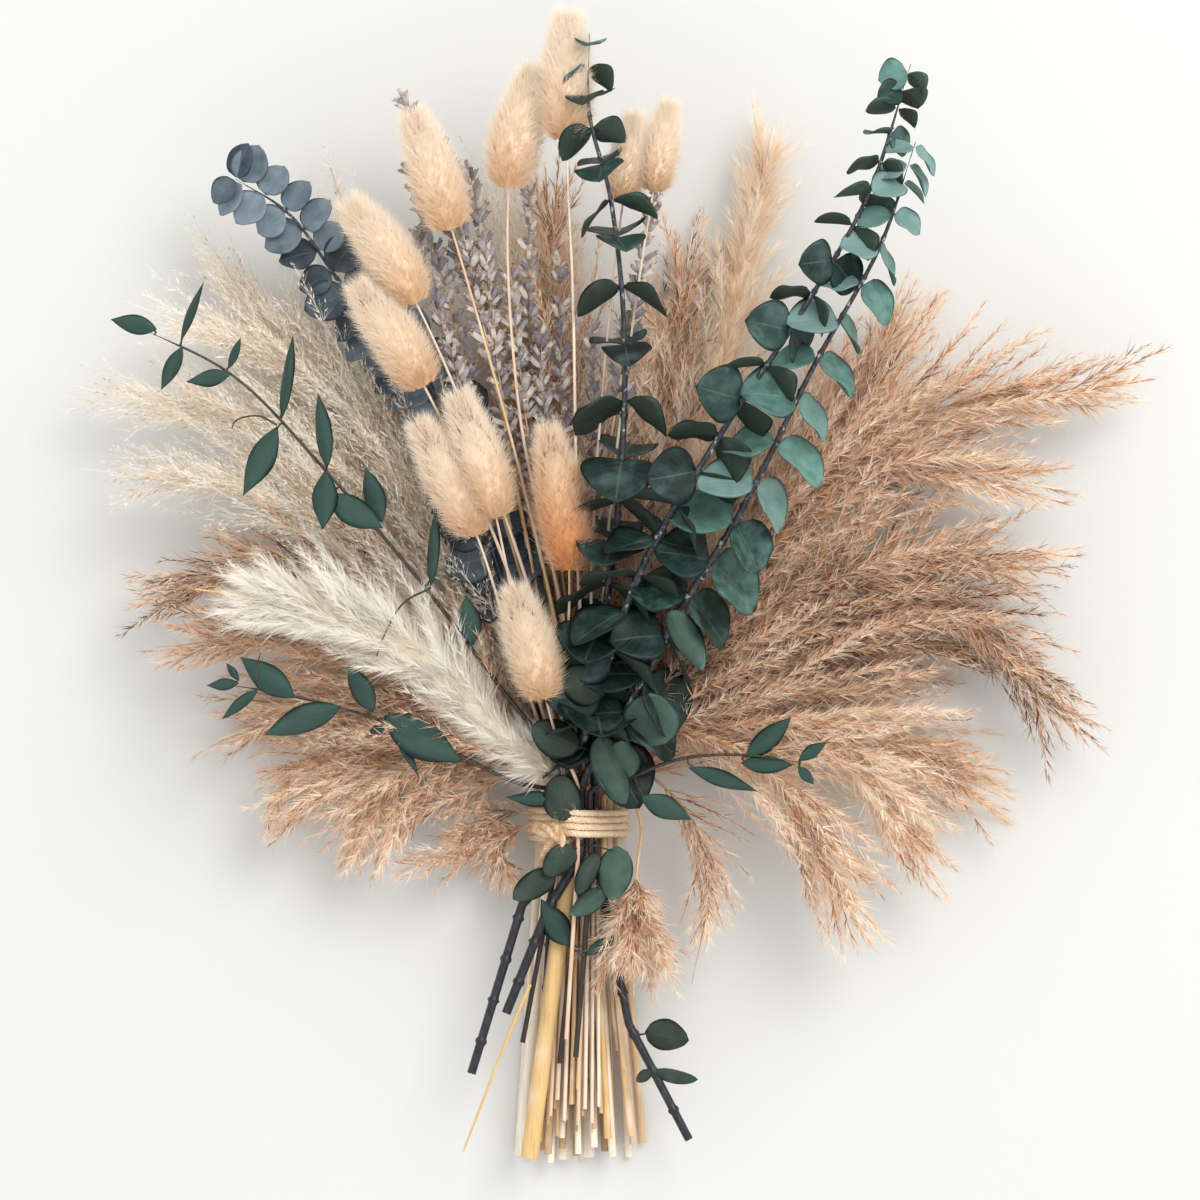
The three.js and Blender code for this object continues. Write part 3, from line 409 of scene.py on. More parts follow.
class GrowthTree(Tree):
    """A Geometry Nodes tree with named inlets, for one kind of growth."""

    def __init__(self, name):
        super().__init__(bpy.data.node_groups.new(name, "GeometryNodeTree"))
        face = self.nodes.interface
        face.new_socket("Geometry", in_out="INPUT", socket_type="NodeSocketGeometry")
        face.new_socket("Geometry", in_out="OUTPUT", socket_type="NodeSocketGeometry")
        self.entry = self.nodes.nodes.new("NodeGroupInput")
        self.draws = 0

    def inlet(self, name, kind="Float"):
        self.nodes.interface.new_socket(name, in_out="INPUT", socket_type=f"NodeSocket{kind}")
        return Value(self, next(s for s in self.entry.outputs if s.name == name))

    def geometry(self):
        return Value(self, self.entry.outputs["Geometry"])

    def draw(self, low, high, seed):
        """A different number for each item, the same in every run."""
        self.draws += 1
        return self.put("FunctionNodeRandomValue", {"data_type": "FLOAT"},
                        {"Min": low, "Max": high, "Seed": seed + float(self.draws)})["Value"]

    def named(self, name, kind="FLOAT"):
        return self.put("GeometryNodeInputNamedAttribute", {"data_type": kind}, {"Name": name})["Attribute"]

    def store(self, geometry, name, value, domain="INSTANCE", kind="FLOAT"):
        return self.put("GeometryNodeStoreNamedAttribute", {"data_type": kind, "domain": domain},
                        {"Geometry": geometry, "Name": name, "Value": value})["Geometry"]

    def turned(self, along, across):
        """The rotation that points Z along and X across."""
        return self.put("FunctionNodeAxesToRotation", {"primary_axis": "Z", "secondary_axis": "X"},
                        {"Primary Axis": along, "Secondary Axis": across})["Rotation"]

    def copies(self, points, shapes, along, across, size, pick):
        """One of the shapes on each point, its Z along and its X across."""
        source = self.put("GeometryNodeCollectionInfo", None,
                          {"Collection": shapes, "Separate Children": True})["Instances"]
        return self.put("GeometryNodeInstanceOnPoints", None,
                        {"Points": points, "Instance": source, "Pick Instance": True,
                         "Instance Index": pick, "Rotation": self.turned(along, across),
                         "Scale": size})["Instances"]

    def stalk_and_points(self, count):
        """The stalk as a curve, so many loose points, and each one's number."""
        curve = self.put("GeometryNodeMeshToCurve", None, {"Mesh": self.geometry()})["Curve"]
        points = Value(self, self.put("GeometryNodePoints", None, {"Count": count}).node.outputs[0])
        return curve, points, self.put("GeometryNodeInputIndex")["Index"]

    def moved(self, points, sockets):
        return self.put("GeometryNodeSetPosition", None, {"Geometry": points, **sockets})["Geometry"]

    def realize(self, geometry):
        return self.put("GeometryNodeRealizeInstances", None, {"Geometry": geometry})["Geometry"]

    def sweep(self, curve, radius, sides):
        """A round tube along a curve, closed at its ends."""
        profile = self.put("GeometryNodeCurvePrimitiveCircle", None, {"Resolution": sides, "Radius": 1.0})
        return self.put("GeometryNodeCurveToMesh", None,
                        {"Curve": curve, "Profile Curve": profile["Curve"], "Scale": radius,
                         "Fill Caps": True})["Mesh"]

    def close(self, parts, material, rounded=True):
        """Joins the parts, gives them their finish and ends the tree."""
        joined = self.put("GeometryNodeJoinGeometry", None, {"Geometry": parts})["Geometry"]
        solid = self.realize(joined)
        shaded = self.put("GeometryNodeSetShadeSmooth", None,
                          {"Geometry": solid, "Shade Smooth": rounded})["Geometry"]
        finished = self.put("GeometryNodeSetMaterial", None,
                            {"Geometry": shaded, "Material": material})["Geometry"]
        end = self.nodes.nodes.new("NodeGroupOutput")
        self.nodes.links.new(finished.socket, end.inputs[0])
        return self.nodes


def spot_on_line(tree, curve, distance, turn, lean, root):
    """Where something grows on a stalk, which way it points, and its sideways axis."""
    spot = tree.put("GeometryNodeSampleCurve", {"mode": "LENGTH"}, {"Curves": curve, "Length": distance})
    tangent = spot["Tangent"]
    side = tree.cross(tangent, UP)
    lift = tree.cross(tangent, side)
    out = side * tree.cosine(turn) + lift * tree.sine(turn)
    along = tangent * tree.cosine(lean) + out * tree.sine(lean)
    return spot["Position"] + out * root, along, tree.cross(tangent, out), tangent


def stem_tree():
    """A tube along every line of the mesh, as thick as its points say."""
    tree = GrowthTree("stem_sweep")
    sides = tree.inlet("Sides", "Int")
    material = tree.inlet("Finish", "Material")
    curve = tree.put("GeometryNodeMeshToCurve", None, {"Mesh": tree.geometry()})["Curve"]
    tube = tree.sweep(curve, tree.named("thickness"), sides)
    return tree.close([tube], material)


RING_SCATTER = 0.6        # rings that a hair or bud may stand off its own ring
SWELL_FROM, SWELL_OVER = 0.1, 0.84      # the part of a half wave that a head's outline follows
SWELL_EARLY = 0.85        # below 1 it is thickest nearer its foot


def tuft_tree():
    """Rings of small shapes on the head of a stalk: the fur of a tail, the buds of a spike."""
    tree = GrowthTree("growth_on_head")
    start, end = tree.inlet("Head from"), tree.inlet("Head to")
    count, per_ring = tree.inlet("Count", "Int"), tree.inlet("In one ring", "Int")
    ring_turn, turn_spread = tree.inlet("Turn of a ring"), tree.inlet("Turn spread")
    lean, lean_spread = tree.inlet("Lean"), tree.inlet("Lean spread")
    lean_end = tree.inlet("Lean at the tip")
    root, bulge = tree.inlet("Root radius"), tree.inlet("Bulge")
    size, spread, taper = tree.inlet("Size"), tree.inlet("Size spread"), tree.inlet("Size at the tip")
    warmth, seed = tree.inlet("Warmth"), tree.inlet("Seed", "Int")
    shapes, material = tree.inlet("Shapes", "Collection"), tree.inlet("Finish", "Material")

    curve, points, index = tree.stalk_and_points(count)
    ring = tree.work("FLOOR", index / per_ring)
    rings = tree.work("CEIL", count / per_ring)
    share = (ring + 0.5) / rings
    uneven = share + tree.draw(-RING_SCATTER, RING_SCATTER, seed) / rings
    distance = tree.between(start, end, uneven)
    turn = ring * ring_turn + (index - ring * per_ring) * (2 * math.pi) / per_ring
    turn = turn + tree.draw(-1.0, 1.0, seed) * turn_spread
    leaning = tree.between(lean, lean_end, share) + tree.draw(-1.0, 1.0, seed) * lean_spread
    swell = tree.sine(((share ** SWELL_EARLY) * SWELL_OVER + SWELL_FROM) * math.pi) ** bulge
    place, along, across, _ = spot_on_line(tree, curve, distance, turn, leaning, root * swell)
    sized = size * tree.between(1.0, taper, share) * (1.0 + tree.draw(-1.0, 1.0, seed) * spread)
    grown = tree.copies(tree.moved(points, {"Position": place}), shapes, along, across, sized, index)
    grown = tree.store(grown, "tone", tree.draw(0.0, 1.0, seed))
    grown = tree.store(grown, "share", share)
    grown = tree.store(grown, "warmth", warmth)
    return tree.close([grown], material, rounded=False)


BRANCH_POINTS = 9         # along one branch, before it is bent
BRANCH_ROOT = 0.0005      # metres from the stalk's middle
SHORTEST_BRANCH = 0.42    # share of the longest, at both ends of a head
FULLEST_REACH = 0.35      # how slowly the branches shorten away from the fullest place
UPRIGHT_AT_TIP = 0.35     # share of the lean that is gone at the head's tip
WANDER = (0.16, 0.16, 0.1)              # how far a branch's tip strays, for each unit of its length
BRANCH_TAPER = 0.75
TUFT_ROLL = 0.7           # radians to each side
TUFT_OPENS = (0.4, 1.5)   # least and most, times the plume's own tuft lean
TUFT_SIZES = (0.7, 1.25)
TUFT_SMALLER = 0.45       # share that tufts are smaller at a branch's tip


def bent_branches(tree, seed):
    """A plume's bare branches as curves, with each point's number and its share of the way."""
    start, end = tree.inlet("Head from"), tree.inlet("Head to")
    count = tree.inlet("Branches", "Int")
    length, length_spread = tree.inlet("Branch length"), tree.inlet("Branch length spread")
    lean, lean_spread = tree.inlet("Lean"), tree.inlet("Lean spread")
    sag, gather = tree.inlet("Sag"), tree.inlet("Gather")
    fullest, shade = tree.inlet("Fullest"), tree.inlet("Shade")

    curve, points, index = tree.stalk_and_points(count)
    share = (index + 0.5) / count
    off = tree.work("ABSOLUTE", (share - fullest)
                    / (FULLEST_REACH + tree.work("ABSOLUTE", fullest - 0.5)))
    fullness = tree.sine(tree.work("MAXIMUM", 1.0 - off, 0.0) * (0.5 * math.pi))
    reach = (length * tree.between(SHORTEST_BRANCH, 1.0, fullness)
             * (1.0 + tree.draw(-1.0, 1.0, seed) * length_spread))
    turn = index * GOLDEN_ANGLE + tree.draw(-0.5, 0.5, seed)
    leaning = (lean + tree.draw(-1.0, 1.0, seed) * lean_spread) * (1.0 - share * UPRIGHT_AT_TIP)
    place, along, across, tangent = spot_on_line(
        tree, curve, tree.between(start, end, share), turn, leaning, BRANCH_ROOT)

    last = BRANCH_POINTS - 1
    twig = tree.put("GeometryNodeMeshLine", {"mode": "OFFSET"},
                    {"Count": BRANCH_POINTS, "Offset": (0.0, 0.0, 1.0 / last)})["Mesh"]
    twig = tree.store(twig, "reach", index / float(last), domain="POINT")
    twigs = tree.put("GeometryNodeInstanceOnPoints", None,
                     {"Points": tree.moved(points, {"Position": place}), "Instance": twig,
                      "Rotation": tree.turned(along, across), "Scale": reach})["Instances"]
    wander = tree.put("FunctionNodeRandomValue", {"data_type": "FLOAT_VECTOR"},
                      {"Min": tuple(-w for w in WANDER), "Max": WANDER, "Seed": seed})["Value"]
    pull = (tangent * gather + wander - UP * sag) * reach
    twigs = tree.store(twigs, "pull", pull, kind="FLOAT_VECTOR")
    twigs = tree.store(twigs, "branch_tone", tree.draw(0.0, 1.0, seed) + shade)
    twigs = tree.realize(tree.store(twigs, "share", share))
    far = tree.named("reach")
    bent = tree.moved(twigs, {"Offset": tree.named("pull", "FLOAT_VECTOR") * (far * far)})
    return tree.put("GeometryNodeMeshToCurve", None, {"Mesh": bent})["Curve"], index, far


def tufts_along(tree, branches, index, far, seed):
    """Tufts set along the branches, none near the roots and smaller towards the tips."""
    pitch, size, lean = tree.inlet("Tuft pitch"), tree.inlet("Tuft size"), tree.inlet("Tuft lean")
    bare, shapes = tree.inlet("Bare share"), tree.inlet("Shapes", "Collection")

    beads = tree.put("GeometryNodeCurveToPoints", {"mode": "LENGTH"},
                     {"Curve": branches, "Length": pitch})
    beads = tree.store(beads["Points"], "way", beads["Tangent"], domain="POINT", kind="FLOAT_VECTOR")
    too_near = tree.put("FunctionNodeCompare", {"data_type": "FLOAT", "operation": "LESS_THAN"},
                        {"A": far, "B": bare})["Result"]
    kept = tree.put("GeometryNodeDeleteGeometry", {"domain": "POINT"},
                    {"Geometry": beads, "Selection": too_near})["Geometry"]
    heading = tree.named("way", "FLOAT_VECTOR")
    side = tree.cross(heading, UP)
    roll = index * GOLDEN_ANGLE + tree.draw(-TUFT_ROLL, TUFT_ROLL, seed)
    out = side * tree.cosine(roll) + tree.cross(heading, side) * tree.sine(roll)
    opened = lean * tree.draw(*TUFT_OPENS, seed)
    pointing = heading * tree.cosine(opened) + out * tree.sine(opened)
    sized = size * (1.0 - far * far * TUFT_SMALLER) * tree.draw(*TUFT_SIZES, seed)
    tufts = tree.copies(kept, shapes, pointing, tree.cross(heading, out), sized, index)
    return tree.store(tufts, "tone", tree.draw(0.0, 1.0, seed))


def plume_tree():
    """Branches along a head, each bent and feathered with tufts from root to tip."""
    tree = GrowthTree("plume")
    thickness, seed = tree.inlet("Branch thickness"), tree.inlet("Seed", "Int")
    branches, index, far = bent_branches(tree, seed)
    stalks = tree.sweep(branches, thickness * (1.0 - far * BRANCH_TAPER), 3)
    tufts = tufts_along(tree, branches, index, far, seed)
    return tree.close([stalks, tufts], tree.inlet("Finish", "Material"), rounded=False)


def leaf_tree():
    """A leaf on every marked point, turned and sized as the mark says."""
    tree = GrowthTree("leaves_on_marks")
    shapes, material = tree.inlet("Shapes", "Collection"), tree.inlet("Finish", "Material")
    marks = tree.put("GeometryNodeMeshToPoints", None, {"Mesh": tree.geometry()})["Points"]
    index = tree.put("GeometryNodeInputIndex")["Index"]
    leaves = tree.copies(marks, shapes, tree.named("along_leaf", "FLOAT_VECTOR"),
                         tree.named("across_leaf", "FLOAT_VECTOR"),
                         tree.named("leaf_scale", "FLOAT_VECTOR"), index)
    leaves = tree.store(leaves, "tone", tree.named("leaf_tone"))
    return tree.close([leaves], material)


# ------------------------------------------------------------------- meshes and shapes

def mesh_from(name, points, faces=(), edges=(), attributes=None):
    """A mesh with its attributes, each a list with a number or a vector for every point."""
    mesh = bpy.data.meshes.new(name)
    mesh.from_pydata([tuple(point) for point in points], list(edges), list(faces))
    for attribute, values in (attributes or {}).items():
        values = np.asarray(values, np.float32)
        kind, key = ("FLOAT", "value") if values.ndim == 1 else ("FLOAT_VECTOR", "vector")
        mesh.attributes.new(attribute, kind, "POINT").data.foreach_set(key, values.ravel())
    mesh.update()
    return mesh


STEEP = 0.8               # a way steeper than this isn't crossed with straight up
BRISTLE_HELPER = (0.3, 1.0, 0.1)        # a way that no bristle follows


def corners_round(middle, way, helper, width):
    """Three corners round a middle point, square to the way."""
    side = np.cross(way, helper)
    side /= np.linalg.norm(side)
    lift = np.cross(way, side)
    angles = [2 * math.pi * k / 3 for k in range(3)]
    return [middle + 0.5 * width * (side * math.cos(a) + lift * math.sin(a)) for a in angles]


def leaning_tip(draws, spread, shortest, longest):
    """The tip of a hair that leans out of the tuft's middle at random."""
    lean, turn = spread * math.sqrt(draws.random()), 2 * math.pi * draws.random()
    reach = shortest + (longest - shortest) * draws.random()
    return (reach * math.sin(lean) * math.cos(turn), reach * math.sin(lean) * math.sin(turn),
            reach * math.cos(lean))


class Shape:
    """Gathers the points and faces of one small shape, with what its finish reads."""

    def __init__(self):
        self.points, self.faces = [], []
        self.along, self.fluff = [], []

    def spike(self, root, tip, width, bow=(0, 0, 0), fluff=0.0, fullest=0.35):
        """A pointed spike: thickest at a share of its length, bowed sideways there."""
        root, tip = np.array(root, float), np.array(tip, float)
        way = (tip - root) / np.linalg.norm(tip - root)
        helper = UP if abs(way[2]) < STEEP else (1.0, 0.0, 0.0)
        middle = root + (tip - root) * fullest + np.array(bow, float)
        foot, a, b, c, top = range(len(self.points), len(self.points) + 5)
        self.points += [root, *corners_round(middle, way, helper, width), tip]
        self.along += [0, fullest, fullest, fullest, 1]
        self.fluff += [fluff] * 5
        for here, ahead in ((a, b), (b, c), (c, a)):
            self.faces += [(foot, ahead, here), (here, ahead, top)]

    def bristle(self, root, tip, width, fluff):
        """The plainest spike: three sides on a small base."""
        root, tip = np.array(root, float), np.array(tip, float)
        way = (tip - root) / np.linalg.norm(tip - root)
        a, b, c, top = range(len(self.points), len(self.points) + 4)
        self.points += [*corners_round(root, way, BRISTLE_HELPER, width), tip]
        self.along += [0, 0, 0, 1]
        self.fluff += [fluff] * 4
        self.faces += [(a, c, b), (a, b, top), (b, c, top), (c, a, top)]

    def hairs(self, draws, count, spread, reach, width, fluff, root=(0, 0, 0)):
        """Fine hairs that lean out at random, each as fluffy as given or more."""
        for _ in range(count):
            tip = leaning_tip(draws, spread, *reach)
            self.bristle(root, tip, width, fluff + (1 - fluff) * draws.random())

    def made(self, name):
        return mesh_from(name, self.points, self.faces,
                         attributes={"along": self.along, "fluff": self.fluff})


def collection_of(name, meshes):
    """The shapes that a tree picks from. The collection is never part of the scene."""
    held = bpy.data.collections.new(name)
    for number, mesh in enumerate(meshes):
        held.objects.link(bpy.data.objects.new(f"{name}_{number}", mesh))
    return held


def shapes_of(name, count, seed, fill):
    """So many shapes of a unit's length, filled one after the other from one run of draws."""
    draws = np.random.default_rng(seed)
    meshes = []
    for number in range(count):
        shape = Shape()
        fill(shape, draws)
        meshes.append(shape.made(f"{name}_shape_{number}"))
    return collection_of(name, meshes)


def fill_reed(shape, draws):
    """A pointed husk with long fine hairs round it, some paler than others."""
    shape.spike((0, 0, 0), leaning_tip(draws, 0.2, 0.75, 0.95), width=0.085, bow=(0.03, 0, 0))
    shape.hairs(draws, 5, spread=0.62, reach=(0.75, 1.35), width=0.044, fluff=0.35, root=(0, 0, 0.05))


def fill_wisp(shape, draws):
    """A hair-thin side twig with tiny husks and loose fine hairs."""
    twig = np.array([0.1, 0.05, 1.0])
    shape.bristle((0, 0, 0), twig, width=0.026, fluff=0.6)
    for _ in range(2):
        root = twig * (0.35 + 0.6 * draws.random())
        tip = root + np.array([*(draws.random(2) - 0.5) * 0.3, 0.24 + 0.1 * draws.random()])
        shape.spike(root, tip, width=0.078)
    shape.hairs(draws, 3, spread=0.5, reach=(0.7, 1.25), width=0.026, fluff=0.6)


def fill_silk(shape, draws):
    """A lock of pampas silk."""
    shape.hairs(draws, 7, spread=0.35, reach=(0.65, 1.0), width=0.02, fluff=0.5)


def fill_fur(shape, draws):
    """A lock of a tail's fur."""
    shape.hairs(draws, 3, spread=0.45, reach=(0.65, 1.0), width=0.024, fluff=0.5)


CALYX_SIDES = 8
CALYX_RINGS = ((0.0, 0.05), (0.18, 0.15), (0.5, 0.2), (0.8, 0.17), (0.97, 0.2))    # height, radius
CALYX_GROOVE, CALYX_RIB = 0.86, 1.12    # times the ring's radius
CALYX_PALER_RIB = 0.25
PETAL_ROOT = 0.85


def add_cup(shape):
    """The calyx's ribbed cup, closed at its foot and by a low cone in its mouth."""
    sides = CALYX_SIDES
    for height, radius in CALYX_RINGS:
        for k in range(sides):
            angle = 2 * math.pi * k / sides
            reach = radius * (CALYX_RIB if k % 2 else CALYX_GROOVE)
            shape.points.append((reach * math.cos(angle), reach * math.sin(angle), height))
            shape.along.append(height)
            shape.fluff.append(CALYX_PALER_RIB if k % 2 else 0)
    for ring in range(len(CALYX_RINGS) - 1):
        for k in range(sides):
            a, b = ring * sides + k, ring * sides + (k + 1) % sides
            shape.faces.append((a, b, b + sides, a + sides))
    top = len(shape.points)
    shape.faces.append(tuple(reversed(range(sides))))
    shape.faces += [(top - sides + k, top - sides + (k + 1) % sides, top) for k in range(sides)]
    shape.points.append((0, 0, 0.9))
    shape.along.append(0.7)
    shape.fluff.append(1)


def fill_calyx(shape, draws):
    """A lavender calyx with its papery petals and a bract at its foot."""
    add_cup(shape)
    for _ in range(3):
        turn = 2 * math.pi * draws.random()
        reach = 0.1 + 0.14 * draws.random()
        tip = (reach * math.cos(turn), reach * math.sin(turn), 1.14 + 0.1 * draws.random())
        shape.spike((0.5 * tip[0], 0.5 * tip[1], PETAL_ROOT), tip, width=0.13, fluff=1.0, fullest=0.5)
    turn = 2 * math.pi * draws.random()
    shape.spike((0, 0, -0.02), (0.32 * math.cos(turn), 0.32 * math.sin(turn), 0.42), width=0.16,
                fluff=0.6, fullest=0.4)


LEAF_HALF_THICK = 0.011   # for a leaf of unit length, as are the next ones
MIDRIB_DEPTH, MIDRIB_WIDTH = 0.018, 0.07
CUP_LATE = 1.6            # above 1, a leaf curls up nearer its edge
RUFFLES = 7               # radians of the wave along the whole edge
ROUND_OUTLINE = (0.84, 0.62)            # how early a leaf is widest, and how round its ends are
LONG_OUTLINE = (0.86, 1.05)


def leaf_mesh(name, cup, bend, outline, wave, rows=12, columns=8):
    """A thin closed leaf of unit length along Z and unit width, its upper side facing +Y."""
    rise, round_off = outline
    points, along, across, under, faces = [], [], [], [], []
    index = {}
    spots = [(sheet, i, j) for sheet in (0, 1) for i in range(rows + 1) for j in range(columns + 1)]
    for sheet, i, j in spots:
        rim = i in (0, rows) or j in (0, columns)
        if rim and sheet:
            index[1, i, j] = index[0, i, j]
            continue
        s, c = i / rows, 2 * j / columns - 1
        half = 0.5 * math.sin(math.pi * s**rise) ** round_off
        ruffle = wave * half * math.sin(RUFFLES * s + 2 * c) * abs(c)
        fold = cup * half * abs(c) ** CUP_LATE + ruffle + bend * s * s
        if not rim:
            midrib = -MIDRIB_DEPTH * math.exp(-(c / MIDRIB_WIDTH) ** 2) * (1 - s)
            fold = fold + LEAF_HALF_THICK * (1 - 2 * sheet) + midrib
        index[sheet, i, j] = len(points)
        points.append((c * half, fold, s))
        along.append(s)
        across.append(c)
        under.append(sheet)
    for sheet, i, j in spots:
        if i < rows and j < columns:
            a, b = index[sheet, i, j], index[sheet, i, j + 1]
            c, d = index[sheet, i + 1, j + 1], index[sheet, i + 1, j]
            faces.append((a, b, c, d) if sheet else (a, d, c, b))
    mesh = mesh_from(name, points, faces, attributes={"along": along, "across": across, "under": under})
    merge_doubles(mesh)
    return mesh


def merge_doubles(mesh, gap=1e-5):
    work = bmesh.new()
    work.from_mesh(mesh)
    bmesh.ops.remove_doubles(work, verts=work.verts, dist=gap)
    bmesh.ops.recalc_face_normals(work, faces=work.faces)
    work.to_mesh(mesh)
    work.free()


def round_leaves(name, seed):
    draws = np.random.default_rng(seed)
    made = []
    for number in range(8):
        cup, bend = 0.1 + 0.25 * draws.random(), -0.05 - 0.25 * draws.random()
        made.append(leaf_mesh(f"{name}_{number}", cup, bend, ROUND_OUTLINE, wave=0.14 * draws.random()))
    return collection_of(name, made)


def long_leaves(name, seed):
    draws = np.random.default_rng(seed)
    made = []
    for number in range(6):
        bend, cup = -0.1 + 0.2 * draws.random(), 0.1 + 0.1 * draws.random()
        made.append(leaf_mesh(f"{name}_{number}", cup, bend, LONG_OUTLINE, wave=0.08, rows=14, columns=6))
    return collection_of(name, made)


# ---------------------------------------------------------------------------- finishes

def colour(red, green, blue):
    """A colour as it looks on a screen, turned into the numbers that a shader uses."""
    linear = [(c / 255 / 12.92) if c <= 10 else ((c / 255 + 0.055) / 1.055) ** 2.4
              for c in (red, green, blue)]
    return (*linear, 1.0)


def palette(colours):
    return [colour(*each) for each in colours]


class Finish(Tree):
    """A material: what its pattern reads, and the Principled shader at its end."""

    def __init__(self, name, **uniform):
        self.material = bpy.data.materials.new(name)
        self.material.use_nodes = True
        super().__init__(self.material.node_tree)
        self.shader = self.nodes.nodes["Principled BSDF"]
        for socket, value in uniform.items():
            self.shader.inputs[socket.replace("_", " ")].default_value = value

    def read(self, name):
        return self.put("ShaderNodeAttribute", {"attribute_name": name})["Fac"]

    def place(self):
        return self.put("ShaderNodeTexCoord")["Object"]

    def noise(self, scale, detail=3.0, stretch=(1.0, 1.0, 1.0), roughness=0.5):
        where = self.put("ShaderNodeMapping", None, {"Vector": self.place(), "Scale": stretch})["Vector"]
        return self.put("ShaderNodeTexNoise", None,
                        {"Vector": where, "Scale": scale, "Detail": detail, "Roughness": roughness})["Fac"]

    def clear(self, value, low, high):
        """0 below low, 1 above high, smooth between."""
        return self.put("ShaderNodeMapRange", {"interpolation_type": "SMOOTHSTEP"},
                        {"Value": value, "From Min": low, "From Max": high})["Result"]

    def mix(self, a, b, factor):
        made = self.put("ShaderNodeMix", {"data_type": "RGBA"}, {"A": a, "B": b, "Factor": factor})
        return made["Result"]

    def ramp(self, value, stops):
        return self.put("ShaderNodeValToRGB", {"stops": stops}, {"Fac": value})["Color"]

    def paint(self, base, roughness=None, bump=None, strength=0.3, distance=0.0005):
        self.nodes.links.new(base.socket, self.shader.inputs["Base Color"])
        if roughness is not None:
            self.nodes.links.new(roughness.socket, self.shader.inputs["Roughness"])
        if bump is not None:
            raised = self.put("ShaderNodeBump", None,
                              {"Strength": strength, "Distance": distance, "Height": bump})["Normal"]
            self.nodes.links.new(raised.socket, self.shader.inputs["Normal"])
        return self.material


def plume_finish(name, *colours):
    """Husks from dark to pale by tuft, hairs paler, and darker near the stalk."""
    dark, middle, pale, hair, root = palette(colours)
    finish = Finish(name, Roughness=0.85, Specular_IOR_Level=0.2)
    patches = finish.noise(26.0, 2.0)
    tone = finish.read("tone") * 0.45 + finish.read("branch_tone") * 0.5 + patches * 1.3 - 0.64
    husk = finish.ramp(tone, [(0.0, dark), (0.42, middle), (0.9, pale)])
    tipped = finish.mix(husk, hair, finish.clear(finish.read("fluff"), 0.15, 1.0))
    base = finish.mix(root, tipped, finish.clear(finish.read("reach"), -0.3, 0.4))
    return finish.paint(base)


def tail_finish():
    """Fine hairs, warm at the stalk and pale at the top."""
    finish = Finish("bunny_tail_fur", Roughness=0.8, Specular_IOR_Level=0.25)
    share = finish.read("share") * 1.1 + 0.5 - finish.read("warmth") * 1.35
    base = finish.ramp(share + (finish.read("tone") - 0.5) * 0.3,
                       [(0.0, colour(234, 168, 104)), (0.3, colour(238, 196, 148)),
                        (0.6, colour(248, 222, 190)), (1.0, colour(253, 236, 214))])
    pale = finish.mix(base, colour(255, 244, 228), finish.read("along") * 0.5)
    return finish.paint(pale)


def straw_finish(name, *colours):
    """A dry stem: fine streaks along it, paler and darker patches."""
    dark, middle, pale = palette(colours)
    finish = Finish(name, Roughness=0.6)
    streaks = finish.noise(900.0, 4.0, (1.0, 0.035, 1.0), 0.7)
    patches = finish.noise(45.0, 2.0)
    own = finish.ramp(finish.read("stem_tone"),
                      [(0.0, dark), (0.2, middle), (0.42, colour(230, 188, 122)),
                       (0.58, colour(234, 198, 138)), (0.72, colour(232, 194, 164)), (0.9, pale)])
    shaded = finish.mix(own, dark, finish.clear(streaks, 0.5, 0.75) * 0.5)
    base = finish.mix(shaded, pale, finish.clear(patches + streaks * 0.5, 0.75, 1.0) * 0.5)
    return finish.paint(base, bump=streaks, strength=0.35, distance=0.0004)


def bark_finish(name, dark, pale, flecks):
    """A woody stem with short pale flecks across it."""
    dark, pale = palette((dark, pale))
    finish = Finish(name, Roughness=0.4)
    grain = finish.noise(700.0, 5.0, (1.0, 0.3, 1.0), 0.65)
    spots = finish.clear(finish.noise(420.0, 3.0, (1.0, 0.8, 1.0)), 0.6 - flecks, 0.68 - flecks)
    foot = finish.read("stem_tone")
    woody = finish.mix(dark, pale, finish.clear(grain, 0.35, 0.75) * (0.35 + foot * 0.65))
    base = finish.mix(woody, colour(190, 194, 194), spots * foot * 0.8)
    return finish.paint(base, bump=grain, strength=0.3, distance=0.0004)


def leaf_finish(name, *colours):
    """A preserved leaf: midrib and side veins, mottling, a pale bloom, a duller underside."""
    dark, middle, pale, bloom, vein, back = palette(colours)
    finish = Finish(name, Specular_IOR_Level=0.3)
    along, across = finish.read("along"), finish.read("across")
    aside = finish.work("ABSOLUTE", across)
    midrib = 1.0 - finish.clear(aside, 0.015, 0.06)
    slanted = finish.sine((along - aside * 0.45) * 46.0)
    veins = finish.clear(slanted, 0.9, 1.0) * (1.0 - aside) * 0.55
    lines = finish.work("MAXIMUM", midrib, veins)
    mottle = finish.noise(160.0, 4.0)
    tone = finish.read("tone") * 0.8 + (mottle - 0.5) * 0.6 + 0.1
    face = finish.ramp(tone, [(0.1, dark), (0.45, middle), (0.8, pale), (1.0, bloom)])
    dusted = finish.mix(face, bloom, finish.clear(finish.noise(70.0, 3.0), 0.45, 0.8) * 0.3)
    edged = finish.mix(dusted, dark, finish.clear(aside, 0.86, 1.0) * 0.6)
    veined = finish.mix(edged, vein, lines * 0.26)
    base = finish.mix(veined, back, finish.read("under") * 0.7)
    rough = 0.42 + mottle * 0.25 + finish.read("under") * 0.12
    return finish.paint(base, roughness=rough, bump=mottle * 0.5 - lines * 0.4, strength=0.6,
                        distance=0.0006)


